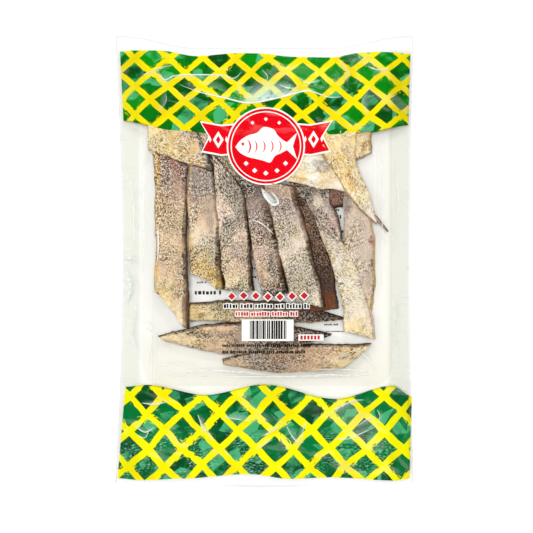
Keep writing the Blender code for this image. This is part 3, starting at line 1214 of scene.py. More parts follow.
    def slack(self, x: float, y: float) -> Vector:
        """Tells how the film lies at a place.

        Args:
            x: the place's x.
            y: the place's y.

        Returns:
            How much it is veiled, as over the bands, 0 to 1; how much it is one of the loose
            side margins, 0 to 1; and 1 at the flat sealed ends, rising to 2 at the bag's rim.
        """
        band = smooth_step((abs(y) - self.BAND_FOOT) / self.BAND_BLEND)
        margin = smooth_step((abs(x) - self.MARGIN) / self.MARGIN_BLEND)
        end = smooth_step((abs(y) - self.CLEAR_END) / self.END_BLEND)
        rim = smooth_step(1.0 - self.from_edge(x, y) / self.RIM)
        inner = 1.0 - end
        return Vector((max(band, margin) * inner, margin * inner, max(end, 2.0 * rim)))

    def front(self, x: float, y: float) -> float:
        """Gives the front film's height at a place.

        Args:
            x: the place's x in metres.
            y: the place's y in metres.

        Returns:
            The height.
        """
        inside = smooth_step(self.from_edge(x, y) / self.EDGE_FALL)
        thin = self.lift(x, y) + self.THIN
        sealed = smooth_step((self.plan.half_length - abs(y)) / self.SEAL - 0.5)
        puff = self.SEAL_PUFF + (1.0 - self.SEAL_PUFF) * sealed
        full = thin + (self.height(x, y) - thin) * puff
        return thin + (full - thin) * inside

    def back(self, x: float, y: float) -> float:
        """Gives the back film's height at a place."""
        return self.BACK + self.lift(x, y)


def object_of(mesh: bmesh.types.BMesh, name: str, materials: Sequence[bpy.types.Material],
              smooth: bool = True) -> bpy.types.Object:
    """Puts a bmesh on a new object of the scene.

    Args:
        mesh: the mesh, which is freed.
        name: the object's name.
        materials: the materials of its slots.
        smooth: whether its faces are shaded smooth.

    Returns:
        The object.
    """
    data = bpy.data.meshes.new(name)
    mesh.to_mesh(data)
    mesh.free()
    if smooth:
        data.shade_smooth()
    for material in materials:
        data.materials.append(material)
    piece = bpy.data.objects.new(name, data)
    bpy.context.scene.collection.objects.link(piece)
    return piece


def dress(piece: bpy.types.Object) -> None:
    """Makes a piece ride on the bag and reports it.

    Args:
        piece: the piece.
    """
    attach(piece, "root")
    LOG.info("%s: %d faces", piece.name, len(piece.data.polygons))


def rectangle(x: float, y: float, wide: float, high: float) -> list[Place]:
    """Gives a rectangle's corners in metres from its lower left corner and size in millimetres."""
    corners = ((x, y), (x + wide, y), (x + wide, y + high), (x, y + high))
    return [(a * MM, b * MM) for a, b in corners]


def lozenge(x: float, y: float, half_wide: float, half_high: float) -> list[Place]:
    """Gives a lozenge's corners from its middle and its half sizes, in the units given."""
    return [(x - half_wide, y), (x, y - half_high), (x + half_wide, y), (x, y + half_high)]


def fill_outline(mesh: bmesh.types.BMesh, outline: Sequence[Place], height: float) -> None:
    """Fills an outline with one face.

    Args:
        mesh: the mesh that gets it.
        outline: its corners' x and y in metres.
        height: the face's height.
    """
    corners = [mesh.verts.new((x, y, height)) for x, y in outline]
    sides = [mesh.edges.new((a, b)) for a, b in zip(corners, corners[1:] + corners[:1])]
    bmesh.ops.edgeloop_fill(mesh, edges=sides)


def face_up(mesh: bmesh.types.BMesh) -> None:
    """Turns every face of a nearly flat mesh upwards.

    Args:
        mesh: the mesh.
    """
    for face in mesh.faces:
        face.normal_update()
        if face.normal.z < 0.0:
            face.normal_flip()


@dataclass
class FilmBag:
    """The clear film: a front and a back that meet all round."""

    form: FilmForm
    columns: int = 168
    rows: int = 252

    def build(self) -> None:
        """Builds the film as one closed skin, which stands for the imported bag."""
        shell = bmesh.new()
        slack = shell.verts.layers.float_vector.new("slack")
        bmesh.ops.create_grid(shell, x_segments=self.columns, y_segments=self.rows, size=1.0)
        made = bmesh.ops.extrude_face_region(shell, geom=shell.faces[:])["geom"]
        under = {part for part in made if isinstance(part, bmesh.types.BMVert)}
        for point in shell.verts:
            x, y = self.form.plan.place(point.co.x, point.co.y)
            height = self.form.back(x, y) if point in under else self.form.front(x, y)
            point.co = (x, y, height)
            veil, margin, end = self.form.slack(x, y)
            point[slack] = (0.0 if point in under else veil, margin, end)
        bmesh.ops.recalc_face_normals(shell, faces=shell.faces[:])
        film = object_of(shell, "film_bag", [ClearFilm().material()])
        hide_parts("bag")
        dress(film)


@dataclass
class CreaseGlints:
    """Painted glints on the creases' sharp, partly whitened tops, and painted sheen on their
    flanks.
    """

    form: FilmForm
    steps: int = 7
    columns: int = 4
    rise: float = 0.00012
    thickness: float = 0.00005
    clear_of_film: float = 0.00003
    end_power: float = 0.7
    fade_power: float = 1.3

    def ribbon(self, joined: bmesh.types.BMesh, crease: Crease, inner: float, outer: float,
               rise: float) -> None:
        """Adds a ribbon along a crease, from an inner to an outer offset to its left.

        Args:
            joined: the mesh that it is added to.
            crease: the crease.
            inner: the offset of its first edge in millimetres.
            outer: the offset of its other edge.
            rise: how far its middle stands up.
        """
        cover = joined.verts.layers.float_vector["cover"]
        line = eased(crease.route, self.steps)
        count = len(line) - 1
        made = bmesh.ops.create_grid(
            joined, x_segments=count, y_segments=self.columns, size=1.0)["verts"]
        for point in made:
            share, side = (point.co.x + 1.0) / 2.0, (point.co.y + 1.0) / 2.0
            number = min(count - 1, int(share * count + 1e-6))
            part = share * count - number
            (ax, ay), (bx, by) = line[number], line[number + 1]
            turn = atan2(by - ay, bx - ax) + pi / 2.0
            swell = sin(pi * share) ** self.end_power
            off = (inner + (outer - inner) * side) * swell
            x = (ax + (bx - ax) * part + cos(turn) * off) * MM
            y = (ay + (by - ay) * part + sin(turn) * off) * MM
            if rise > 0.0:
                shown = crease.cover * min(1.0, 2.0 * swell)
            else:
                shown = crease.flank_cover * swell * (1.0 - side) ** self.fade_power
            lens = rise * (1.0 - point.co.y ** 2)
            point.co = (x, y, self.form.front(x, y) + self.clear_of_film + lens)
            point[cover] = (shown, shown, shown)

    def build(self) -> None:
        """Builds the painted crease glints and their painted sheens on the film, as two pieces."""
        # painted glints in pale white on the crease tops, and painted sheen in pale green on their
        # flanks
        lines = GlintAndSheenFilm("painted_glint", (0.97, 0.98, 0.96, 1.0)).material()
        sheens = GlintAndSheenFilm("crease_sheen", (0.74, 0.99, 0.84, 1.0)).material()
        for name, finish in (("crease_glints", lines), ("crease_sheens", sheens)):
            joined = bmesh.new()
            joined.verts.layers.float_vector.new("cover")
            for crease in CREASES:
                if name == "crease_glints" and crease.width > 0.0:
                    half = crease.width / 2.0
                    self.ribbon(joined, crease, -half, half, self.rise)
                elif name == "crease_sheens" and crease.flank != 0.0:
                    self.ribbon(joined, crease, 0.0, crease.flank, 0.0)
            face_up(joined)
            if name == "crease_glints":
                bmesh.ops.solidify(joined, geom=joined.faces[:], thickness=self.thickness)
            dress(object_of(joined, name, [finish]))


class Layer(Enum):
    """How deep each ink lies under the front film, in millimetres."""

    DETAIL = 0.06
    FIGURE = 0.09
    DISC = 0.12
    RING = 0.15
    RIBBON = 0.18
    RIBBON_EDGE = 0.21
    BAND = 0.25


@dataclass
class Print:
    """Ink laid just under the front film."""

    form: FilmForm
    cell: float = 0.0010

    def drape(self, mesh: bmesh.types.BMesh, layer: Layer) -> None:
        """Lays a flat mesh's points against the front film."""
        for point in mesh.verts:
            point.co.z = self.form.front(point.co.x, point.co.y) - layer.value * MM

    def cut_to_cells(self, mesh: bmesh.types.BMesh) -> None:
        """Cuts a flat mesh along a square grid, so that it can follow the film.

        Args:
            mesh: the mesh.
        """
        for axis in (0, 1):
            low = min(point.co[axis] for point in mesh.verts)
            high = max(point.co[axis] for point in mesh.verts)
            for step in range(int(low / self.cell) - 1, int(high / self.cell) + 2):
                if low < step * self.cell < high:
                    at, normal = Vector((0, 0, 0)), Vector((0, 0, 0))
                    at[axis], normal[axis] = step * self.cell, 1.0
                    bmesh.ops.bisect_plane(
                        mesh, geom=mesh.verts[:] + mesh.edges[:] + mesh.faces[:],
                        plane_co=at, plane_no=normal, dist=1e-7)

    def shape(self, outlines: Sequence[Sequence[Place]], name: str,
              material: bpy.types.Material, layer: Layer, slot: str) -> None:
        """Prints flat shapes on the front.

        Args:
            outlines: each shape's corners in metres.
            name: the piece's name.
            material: the ink.
            layer: how deep the ink lies.
            slot: not used.
        """
        mesh = bmesh.new()
        for outline in outlines:
            fill_outline(mesh, outline, 0.0)
        bmesh.ops.triangulate(mesh, faces=mesh.faces[:])
        self.cut_to_cells(mesh)
        face_up(mesh)
        self.drape(mesh, layer)
        dress(object_of(mesh, name, [material]))


@dataclass(frozen=True)
class WavyEdge:
    """A printed edge across the bag, through knots in millimetres from left to right."""

    knots: tuple[Place, ...]

    def at(self, x: float) -> float:
        """Follows the edge.

        Args:
            x: how far across, in metres.

        Returns:
            The edge's y there, in metres.
        """
        here = max(self.knots[0][0], min(self.knots[-1][0], x / MM))
        for (ax, ay), (bx, by) in zip(self.knots, self.knots[1:]):
            if here <= bx:
                return (ay + (by - ay) * smooth_step((here - ax) / (bx - ax))) * MM
        return self.knots[-1][1] * MM


@dataclass
class LatticeBand:
    """A band of printed lattice across the bag, between two wavy edges.

    The ends are given in metres as the x at the lower edge and the x at the upper one.
    """

    print: Print
    name: str
    ink: LatticeInk
    left: Place
    right: Place
    lower: WavyEdge
    upper: WavyEdge
    columns: int = 190
    rows: int = 60
    inside_back: float = 0.00008

    def point(self, across: float, along: float) -> Place:
        """Gives a place on the band.

        Args:
            across: 0 at the left end to 1 at the right one.
            along: 0 at the lower edge to 1 at the upper one.

        Returns:
            Its x and y.
        """
        left = self.left[0] + (self.left[1] - self.left[0]) * along
        right = self.right[0] + (self.right[1] - self.right[0]) * along
        x = left + (right - left) * across
        low, high = self.lower.at(x), self.upper.at(x)
        return x, low + (high - low) * along

    def build(self) -> None:
        """Builds the band on the front film, and its twin on the back film."""
        ink = self.ink.material()
        for side in ("front", "back"):
            mesh = bmesh.new()
            bmesh.ops.create_grid(mesh, x_segments=self.columns, y_segments=self.rows, size=0.5)
            for point in mesh.verts:
                x, y = self.point(point.co.x + 0.5, point.co.y + 0.5)
                point.co = (x, y, self.print.form.back(x, y) + self.inside_back)
            if side == "front":
                self.print.drape(mesh, Layer.BAND)
            else:
                bmesh.ops.reverse_faces(mesh, faces=mesh.faces[:])
            dress(object_of(mesh, f"{self.name}_{side}", [ink]))


@dataclass
class Emblem:
    """A red disc with a white ring and a plain white fish, over two red pennants."""

    print: Print
    x: float = 0.9
    y: float = 77.5
    radius: float = 25.3
    ring: float = 1.0
    pennant_edge: float = 1.1
    figure: Place = (32.0, 4.4)
    segments: int = 96
    red: PlainInk = PlainInk("red_ink", screen(232, 0, 24), screen(216, 0, 18))
    white: PlainInk = PlainInk("white_ink", screen(255, 254, 250), screen(246, 244, 238))

    def placed(self, outline: Sequence[Place], flip: bool = False) -> list[Place]:
        """Moves an outline to the emblem's middle, mirrored if asked, in metres."""
        turn = -1.0 if flip else 1.0
        return [((self.x + turn * x) * MM, (self.y + y) * MM) for x, y in outline]

    def both(self, outline: Sequence[Place]) -> list[list[Place]]:
        """Gives an outline on the right and its mirror image on the left."""
        return [self.placed(outline, flip) for flip in (False, True)]

    def disc(self, radius: float) -> list[Place]:
        """Gives a round outline about the emblem's middle."""
        turns = [2.0 * pi * step / self.segments for step in range(self.segments)]
        return self.placed([(radius * cos(turn), radius * sin(turn)) for turn in turns])

    def arc(self, x: float, y: float, radius: float, start: float, end: float, width: float,
            steps: int = 14, least: float = 0.25) -> list[Place]:
        """Gives a curved stroke's outline.

        Args:
            x: the middle of its curve, from the emblem's middle.
            y: the same, upwards.
            radius: the curve's radius.
            start: the turn where it starts, in degrees.
            end: the turn where it ends.
            width: its width at its middle.
            steps: how many straight stretches it has.
            least: its width at its ends over that at its middle.

        Returns:
            Its corners in metres.
        """
        shares = [step / steps for step in range(steps + 1)]
        sides = []
        for side in (1.0, -1.0):
            reach = [radius + side * width / 2.0 * (least + (1.0 - least) * sin(pi * share))
                     for share in shares]
            turns = [radians(start + (end - start) * share) for share in shares]
            sides.append([(x + far * cos(turn), y + far * sin(turn))
                          for far, turn in zip(reach, turns)])
        return self.placed(sides[0] + sides[1][::-1])

    def pennant(self, spare: float) -> list[Place]:
        """Gives the right pennant's outline.

        Args:
            spare: how much larger it is all round.

        Returns:
            Its corners in millimetres from the emblem's middle.
        """
        return [
            (14.0, -4.0 - spare), (30.0, -5.5 - spare), (42.5 + spare, -3.0 - spare),
            (37.5 + spare, 6.5), (43.5 + spare, 16.0 + spare), (30.0, 13.5 + spare),
            (14.0, 15.0 + spare),
        ]

    def fish(self) -> list[Place]:
        """Gives a plain fish's outline, its nose to the left.

        Returns:
            Its corners in metres.
        """
        back = ((-20.5, -0.4), (-17.0, 4.2), (-11.5, 7.6), (-6.0, 9.2), (-1.5, 13.0), (5.0, 11.6),
                (8.0, 7.4), (11.5, 4.2), (14.2, 2.6))
        belly = ((14.2, -2.6), (10.5, -4.6), (6.0, -6.8), (3.0, -11.0), (-2.0, -9.6), (-7.0, -8.4),
                 (-12.5, -7.0), (-17.5, -4.2), (-20.5, -0.4))
        tail = [(21.0, 9.0), (18.2, 0.0), (21.0, -9.0)]
        return self.placed(eased(back, 5) + tail + eased(belly, 5)[:-1])

    def build(self) -> None:
        """Builds the emblem's inks from the deepest up."""
        red, white = self.red.material(), self.white.material()
        figures = self.both(lozenge(*self.figure, 3.6, 5.8))
        for x in (26.5, 37.5):
            figures += self.both(lozenge(x, 4.6, 0.9, 2.2))
        marks = [self.arc(-15.2, 1.6, 0.6, 0.0, 359.0, 1.2)]
        marks += [self.arc(-17.0, -0.2, 6.6, -46.0, 46.0, 1.1)]
        marks += [self.arc(-12.0 + 5.4 * step, 0.0, 6.0, -42.0, 42.0, 0.9) for step in range(4)]
        ring = [self.arc(0.0, 0.0, 23.3, start, start + 180.0, 0.7, 40, 1.0) for start in (0, 180)]
        spots = [(16.0 * sin(radians(turn)), -18.2 * cos(radians(turn * 0.9)), 1.7)
                 for turn in (-56, -28, 0, 28, 56)]
        spots += [(18.0 * sin(radians(turn)), 18.4 * cos(radians(turn)), 1.3)
                  for turn in (-30, 0, 30)]
        ring += [self.placed(lozenge(x, y, half, half)) for x, y, half in spots]
        edges = self.both(self.pennant(self.pennant_edge))
        centres = self.both(lozenge(*self.figure, 1.6, 2.8))
        sheets = (
            ("pennant_edges", edges, white, Layer.RIBBON_EDGE),
            ("pennants", self.both(self.pennant(0.0)), red, Layer.RIBBON),
            ("pennant_lozenges", figures, white, Layer.DISC),
            ("pennant_centres", centres, red, Layer.FIGURE),
            ("emblem_ring", [self.disc(self.radius + self.ring)], white, Layer.RING),
            ("emblem_disc", [self.disc(self.radius)], red, Layer.DISC),
            ("emblem_trim", ring, white, Layer.FIGURE),
            ("emblem_fish", [self.fish()], white, Layer.FIGURE),
            ("emblem_marks", marks, red, Layer.DETAIL),
        )
        for name, outlines, ink, layer in sheets:
            self.print.shape(outlines, name, ink, layer, "red_print" if ink is red else "film")


class LabelInk(Enum):
    """The small print's inks: name, colour, deeper tone, layer and material slot."""

    RED = ("label_red", screen(206, 48, 56), screen(190, 30, 40), Layer.DISC, "red_print")
    BLACK = ("label_black", screen(34, 30, 28), screen(18, 16, 15), Layer.DISC, "film")
    WHITE = ("label_white", screen(253, 252, 248), screen(243, 241, 235), Layer.RING, "film")


@dataclass(frozen=True)
class Row:
    """A row of small printed blocks in millimetres: its place, size and ink."""

    name: str
    left: float
    right: float
    middle: float
    height: float
    ink: LabelInk
    backed: bool
    block: float


@dataclass
class Label:
    """The small print over the strips: diamonds, rows of plain blocks and a bar block."""

    print: Print
    seed: int = 7
    rows: tuple[Row, ...] = (
        Row("row_black_title", -27.4, 31.8, -29.8, 3.0, LabelInk.BLACK, True, 2.0),
        Row("row_red_small", -19.4, 23.6, -35.1, 2.9, LabelInk.RED, True, 1.8),
        Row("row_black_first", -28.4, 32.2, -56.5, 2.0, LabelInk.BLACK, False, 1.4),
        Row("row_black_last", -28.4, 28.6, -60.9, 2.0, LabelInk.BLACK, False, 1.4),
    )
    bar_box: tuple[float, ...] = (-15.3, -53.6, 34.9, 14.6)
    code_box: tuple[float, ...] = (22.8, -53.4, 17.0, 4.3)
    diamond_left: float = -22.0
    diamond_pitch: float = 8.1
    diamond_row: float = -23.4
    tick_left: float = 24.2
    tick_pitch: float = 2.3
    tick_foot: float = -52.6
    bars_left: float = -9.9
    bars_right: float = 14.6
    bars_foot: float = -52.2
    bar_height: float = 12.4
    spare: float = 0.55

    def blocks(self, row: Row, draw: random.Random) -> list[list[Place]]:
        """Sets out a row's blocks, in uneven groups.

        Args:
            row: the row.
            draw: the seeded draw that sizes them.

        Returns:
            Each block's corners.
        """
        found, x, in_group = [], row.left, draw.randint(3, 7)
        while x < row.right - row.block:
            wide = row.block * draw.uniform(0.55, 0.82)
            tall = row.height * draw.uniform(0.70, 1.0)
            found.append(rectangle(x, row.middle - row.height / 2, wide, tall))
            x += row.block
            in_group -= 1
            if in_group == 0:
                x += row.block * 0.8
                in_group = draw.randint(3, 8)
        return found

    def grounds(self, blocks: Sequence[Sequence[Place]]) -> list[list[Place]]:
        """Gives blocks that are larger all round by the spare width.

        Args:
            blocks: each block's corners.

        Returns:
            Each ground's corners.
        """
        spare = self.spare * MM
        signs = ((-1, -1), (1, -1), (1, 1), (-1, 1))
        return [[(x + across * spare, y + up * spare) for (x, y), (across, up) in zip(block, signs)]
                for block in blocks]

    def diamonds(self, half: float) -> list[list[Place]]:
        """Sets out the row of seven diamonds.

        Args:
            half: half their height in millimetres.

        Returns:
            Each diamond's corners in metres.
        """
        middles = [(self.diamond_left + self.diamond_pitch * step,
                    self.diamond_row + 0.5 * sin(step * 1.3)) for step in range(7)]
        return [[(a * MM, b * MM) for a, b in lozenge(x, y, half, half)] for x, y in middles]

    def bars(self, draw: random.Random) -> list[list[Place]]:
        """Sets out the bar block's bars.

        Args:
            draw: the seeded draw that sizes them.

        Returns:
            Each bar's corners.
        """
        found, x = [], self.bars_left
        while x < self.bars_right:
            wide = draw.choice((0.50, 0.50, 0.90, 1.35))
            found.append(rectangle(x, self.bars_foot, wide, self.bar_height))
            x += wide + draw.choice((0.33, 0.33, 0.50, 0.75))
        return found

    def build(self) -> None:
        """Builds the diamonds, the rows, the bar block and the code block."""
        draw = random.Random(self.seed)
        inks = {ink: PlainInk(*ink.value[:3]).material() for ink in LabelInk}

        def put(shapes: Sequence[Sequence[Place]], name: str, ink: LabelInk) -> None:
            """Prints shapes in one of the inks."""
            self.print.shape(shapes, name, inks[ink], *ink.value[3:])

        put(self.diamonds(3.5), "diamond_grounds", LabelInk.WHITE)
        put(self.diamonds(2.5), "diamonds", LabelInk.RED)
        for row in self.rows:
            blocks = self.blocks(row, draw)
            if row.backed:
                put(self.grounds(blocks), row.name + "_grounds", LabelInk.WHITE)
            put(blocks, row.name, row.ink)
        boxes = [rectangle(*self.bar_box), rectangle(*self.code_box)]
        put(boxes, "bar_ground", LabelInk.WHITE)
        put(self.bars(draw), "bars", LabelInk.BLACK)
        ticks = [rectangle(self.tick_left + self.tick_pitch * step, self.tick_foot, 1.5, 2.7)
                 for step in range(6)]
        put(ticks, "code_blocks", LabelInk.RED)


@dataclass
class BackPanel:
    """Small plain blocks on the back film, seen through the gaps between the strips."""

    seed: int = 11
    height: float = 0.00018
    rows: tuple[tuple[float, float, float, float], ...] = (
        (46.0, 51.0, 35.2, 1.6), (49.4, 52.4, 30.4, 2.6), (49.8, 52.6, 25.6, 2.6),
        (50.0, 52.8, 20.8, 2.4), (-9.4, -3.0, 3.0, 1.8), (-8.8, -3.4, -4.4, 1.8),
        (-8.2, -1.6, -10.4, 1.8), (-45.8, -40.0, -14.0, 1.5), (-47.4, -30.0, -20.8, 3.2),
        (-20.0, 30.0, 12.0, 2.0), (-20.0, 34.0, 20.0, 2.0), (-34.0, 20.0, 44.0, 2.0),
        (40.6, 50.0, -42.8, 1.3), (42.0, 54.0, -47.4, 1.0),
    )

    def build(self) -> None:
        """Builds the panel's rows of uneven blocks."""
        draw = random.Random(self.seed)
        black = PlainInk("panel_black", screen(52, 48, 46), screen(34, 32, 31)).material()
        blocks = []
        for left, right, y, high in self.rows:
            x = left
            while x < right:
                wide = high * draw.uniform(0.35, 0.75)
                tall = high * draw.uniform(0.6, 1.0)
                blocks.append(rectangle(x, y - high / 2.0, wide, tall))
                x += wide + high * (0.7 if draw.random() < 0.18 else 0.28)
        mesh = bmesh.new()
        for block in blocks:
            fill_outline(mesh, block, self.height)
        face_up(mesh)
        dress(object_of(mesh, "panel_rows", [black], smooth=False))


@dataclass
class Tray:
    """The shallow clear tray under the fish."""

    x: float = 0.0017
    y: float = 0.0130
    half_width: float = 0.0843
    half_length: float = 0.0970
    corner: float = 0.014
    lip_height: float = 0.0084
    lip_width: float = 0.0046
    wall_run: float = 0.0040
    floor_height: float = 0.0006
    points_round: int = 240

    def ring_point(self, turn: float, inset: float) -> Vector:
        """Gives a point of a round-cornered ring set in from the tray's outline.

        Args:
            turn: its turn about the tray's middle, in radians.
            inset: how far the ring is set in.

        Returns:
            The point in plan.
        """
        wide, long = self.half_width - inset, self.half_length - inset
        corner = max(self.corner - inset, 0.004)
        ray_x, ray_y = cos(turn), sin(turn)
        reach = min(wide / max(abs(ray_x), 1e-9), long / max(abs(ray_y), 1e-9))
        off = Vector((ray_x * reach, ray_y * reach))
        middle = Vector((
            max(corner - wide, min(wide - corner, off.x)),
            max(corner - long, min(long - corner, off.y)),
        ))
        beyond = off - middle
        if beyond.x and beyond.y:
            off = middle + beyond.normalized() * corner
        return Vector((self.x + off.x, self.y + off.y))

    def build(self) -> None:
        """Builds the tray from its lip inwards, as one thin sheet like the real one."""
        profile = (
            (0.0000, self.lip_height - 0.0010), (0.0003, self.lip_height - 0.0003),
            (0.0010, self.lip_height), (self.lip_width - 0.0006, self.lip_height),
            (self.lip_width, self.lip_height - 0.0006),
            (self.lip_width + self.wall_run * 0.85, self.floor_height + 0.0012),
            (self.lip_width + self.wall_run, self.floor_height + 0.0003),
            (self.lip_width + self.wall_run + 0.0012, self.floor_height),
        )
        mesh = bmesh.new()
        bmesh.ops.create_grid(
            mesh, x_segments=self.points_round, y_segments=len(profile) - 1, size=1.0)
        for point in mesh.verts:
            turn = (point.co.x + 1.0) * pi
            inset, height = profile[round((point.co.y + 1.0) / 2.0 * (len(profile) - 1))]
            place = self.ring_point(turn, inset)
            point.co = (place.x, place.y, height)
        bmesh.ops.remove_doubles(mesh, verts=mesh.verts[:], dist=1e-6)
        inner = [edge for edge in mesh.edges if edge.is_boundary
                 and edge.verts[0].co.z < self.floor_height + 1e-6]
        bmesh.ops.contextual_create(mesh, geom=inner)
        bmesh.ops.recalc_face_normals(mesh, faces=mesh.faces[:])
        if max(mesh.faces, key=lambda face: face.calc_area()).normal.z < 0.0:
            bmesh.ops.reverse_faces(mesh, faces=mesh.faces[:])
        dress(object_of(mesh, "tray", [TrayPlastic().material()]))


@dataclass(frozen=True)
class Strip:
    """A strip of dried fish, as in the solid. Lengths are in millimetres and angles in degrees.

    x, y is its middle and heading the way that its head end points, anticlockwise from +X.
    A cut moves an end's left corner on and its right corner back; a taper is an end's width
    over the strip's. The bow bends it to the left, the roll lifts its left edge, the pitch
    lifts its head end, and base is the height of its underside at its middle. Its skin stops
    short of its right edge by what bared gives for the foot and the head, and bares the flesh.
    """

    name: str
    x: float
    y: float
    heading: float
    length: float
    width: float
    head_cut: float
    head_taper: float
    foot_cut: float
    foot_taper: float
    bow: float
    base: float
    roll: float
    pitch: float
    skin: FishSkin
    bared: Place = (0.4, 0.4)

    THICKNESS = 0.0048
    CROWN = 0.0012
    LEAN = 0.0011
    LEAN_FALL = 0.5
    TAPER_POWER = 1.7
    UNEVENNESS = 0.035
    WAVES = 2.3
    FULL_WIDTH = 12.0
    THINNEST = 0.45
    SIDE_SHARE = 0.14
    END_FROM = 0.985
    UNDER_WIDTH = 0.96
    SHOULDER_FROM = 0.85
    SHOULDER_DROP = 0.05
    BARED_FROM = 0.1
    CUT_RISE = 0.0003
    FRAYED_FROM = 0.8
    RELIEF = ((0.00014, 420.0, 60.0), (0.00012, 900.0, 620.0), (0.00030, 110.0, 70.0))
    FRAYS = ((420.0, 0.00045), (110.0, 0.00095))
    STEP = 0.70
    LEAST_LONG = 12
    LEAST_WIDE = 10

    def local_width(self, s: float, u: float) -> float:
        """Gives the strip's width at a place.

        Args:
            s: -1 at the foot to 1 at the head.
            u: -1 at the right edge to 1 at the left one.

        Returns:
            The width in millimetres.
        """
        taper = self.head_taper if s > 0.0 else self.foot_taper
        narrow = 1.0 - (1.0 - taper) * abs(s) ** self.TAPER_POWER
        return self.width * narrow * (1.0 + self.UNEVENNESS * sin(pi * self.WAVES * s + self.x + u))

    def local_thickness(self, s: float, u: float) -> float:
        """Gives the strip's thickness at a place.

        Args:
            s: -1 at the foot to 1 at the head.
            u: -1 at the right edge to 1 at the left one.

        Returns:
            The thickness in metres.
        """
        full = min(1.0, self.local_width(s, 0.0) / self.FULL_WIDTH)
        share = self.THINNEST + (1.0 - self.THINNEST) * full
        return (self.THICKNESS - self.CROWN * u * u) * share

    def ahead(self) -> Vector:
        """Gives the way that the strip's head end points."""
        return Vector((cos(radians(self.heading)), sin(radians(self.heading)), 0.0))

    def leftward(self) -> Vector:
        """Gives the way to the strip's left, as seen from its foot."""
        ahead = self.ahead()
        return Vector((-ahead.y, ahead.x, 0.0))

    def under(self, s: float, u: float) -> Vector:
        """Gives a point of the underside.

        Args:
            s: -1 at the foot to 1 at the head.
            u: -1 at the right edge to 1 at the left one.

        Returns:
            The point in metres.
        """
        cut = self.head_cut if s > 0.0 else -self.foot_cut
        along = s * self.length / 2.0 + u * cut / 2.0 * abs(s)
        across = u * self.local_width(s, u) / 2.0 + self.bow * (1.0 - s * s)
        height = self.base + u * sin(radians(self.roll)) * self.width / 2.0
        height += s * sin(radians(self.pitch)) * self.length / 2.0
        place = Vector((self.x, self.y, height))
        return (place + self.ahead() * along + self.leftward() * across) * MM

    def lean(self, s: float, u: float) -> Vector:
        """Gives how far the underside leans out to the right."""
        share = self.local_thickness(s, u) / self.THICKNESS * (1.0 - self.LEAN_FALL * s)
        return self.leftward() * -self.LEAN * share

    def frayed(self, place: Vector) -> Vector:
        """Gives the small shifts of a strip's cut edge.

        Args:
            place: the place on the strip.

        Returns:
            The shift there.
        """
        shift = Vector((0.0, 0.0, 0.0))
        for scale, reach in self.FRAYS:
            at = place * scale
            other = at + Vector((7.0, 3.0, 1.0))
            shift += Vector((noise.noise(at), noise.noise(other), 0.0)) * reach
        return shift

    def relief(self, place: Vector) -> float:
        """Gives the fine height of the skin: wrinkles along the strip, scales and dents.

        Args:
            place: the place on the underside.

        Returns:
            The height there.
        """
        along, across = place.dot(self.ahead()), place.dot(self.leftward())
        layers = zip(self.RELIEF, (self.x, self.y, self.base))
        return sum(depth * noise.noise(Vector((across * wide, along * long, seed)))
                   for (depth, wide, long), seed in layers)

    def skin_point(self, s: float, t: float) -> tuple[Vector, float]:
        """Gives a point of the skin and the cut sides.

        Args:
            s: -1 at the foot to 1 at the head.
            t: -1 at the foot of the right side to 1 at the foot of the left one.

        Returns:
            The point, and 1 on the cut sides or 0 on the skin.
        """
        top_share = 1.0 - self.SIDE_SHARE
        end = max(0.0, (abs(s) - self.END_FROM) / (1.0 - self.END_FROM))
        u = max(-1.0, min(1.0, t / top_share))
        down = max(0.0, (abs(t) - top_share) / self.SIDE_SHARE, end)
        base = self.under(s, u)
        shoulder = smooth_step((abs(u) - self.SHOULDER_FROM) / (1.0 - self.SHOULDER_FROM))
        thick = self.local_thickness(s, u) * (1.0 - self.SHOULDER_DROP * shoulder)
        up = base + Vector((0.0, 0.0, thick + self.relief(base) * (1.0 - down)))
        bared = self.bared[0] + (self.bared[1] - self.bared[0]) * (s + 1.0) / 2.0
        shift = smooth_step((self.BARED_FROM - u) / (1.0 + self.BARED_FROM))
        up += self.leftward() * bared * MM * shift
        low = base + self.lean(s, u) + Vector((0.0, 0.0, self.CUT_RISE))
        point = up.lerp(low, down)
        near_edge = smooth_step((abs(u) - self.FRAYED_FROM) / (1.0 - self.FRAYED_FROM))
        return point + self.frayed(point) * max(down, near_edge), down

    def build(self) -> None:
        """Builds the strip as one closed piece with its skin."""
        widest = self.width * max(self.head_taper, self.foot_taper, 1.0)
        mesh = bmesh.new()
        for name in ("skin", "edges"):
            mesh.verts.layers.float_vector.new(name)
        skin = mesh.verts.layers.float_vector["skin"]
        edges = mesh.verts.layers.float_vector["edges"]
        bmesh.ops.create_grid(
            mesh, x_segments=max(self.LEAST_LONG, int(self.length / self.STEP)),
            y_segments=max(self.LEAST_WIDE, int(widest / self.STEP)), size=1.0)
        made = bmesh.ops.extrude_face_region(mesh, geom=mesh.faces[:])["geom"]
        under = {part for part in made if isinstance(part, bmesh.types.BMVert)}
        for point in mesh.verts:
            s, t = point.co.x, point.co.y
            u = max(-1.0, min(1.0, t / (1.0 - self.SIDE_SHARE)))
            place, side = self.skin_point(s, t)
            if point in under:
                inner_s = s * self.END_FROM
                inner_u = max(-self.UNDER_WIDTH, min(self.UNDER_WIDTH, u))
                place = self.under(inner_s, inner_u) + self.lean(inner_s, inner_u)
                side = 1.0
            half = self.local_width(s, u) / 2.0 * MM
            point[skin] = (u * half, s * self.length / 2.0 * MM, side)
            point[edges] = (
                (1.0 - u) * half, (1.0 + u) * half, (1.0 - abs(s)) * self.length / 2.0 * MM)
            point.co = place
        bmesh.ops.recalc_face_normals(mesh, faces=mesh.faces[:])
        finish = self.skin.material(self.name + "_skin", self.length * MM)
        dress(object_of(mesh, self.name, [finish]))


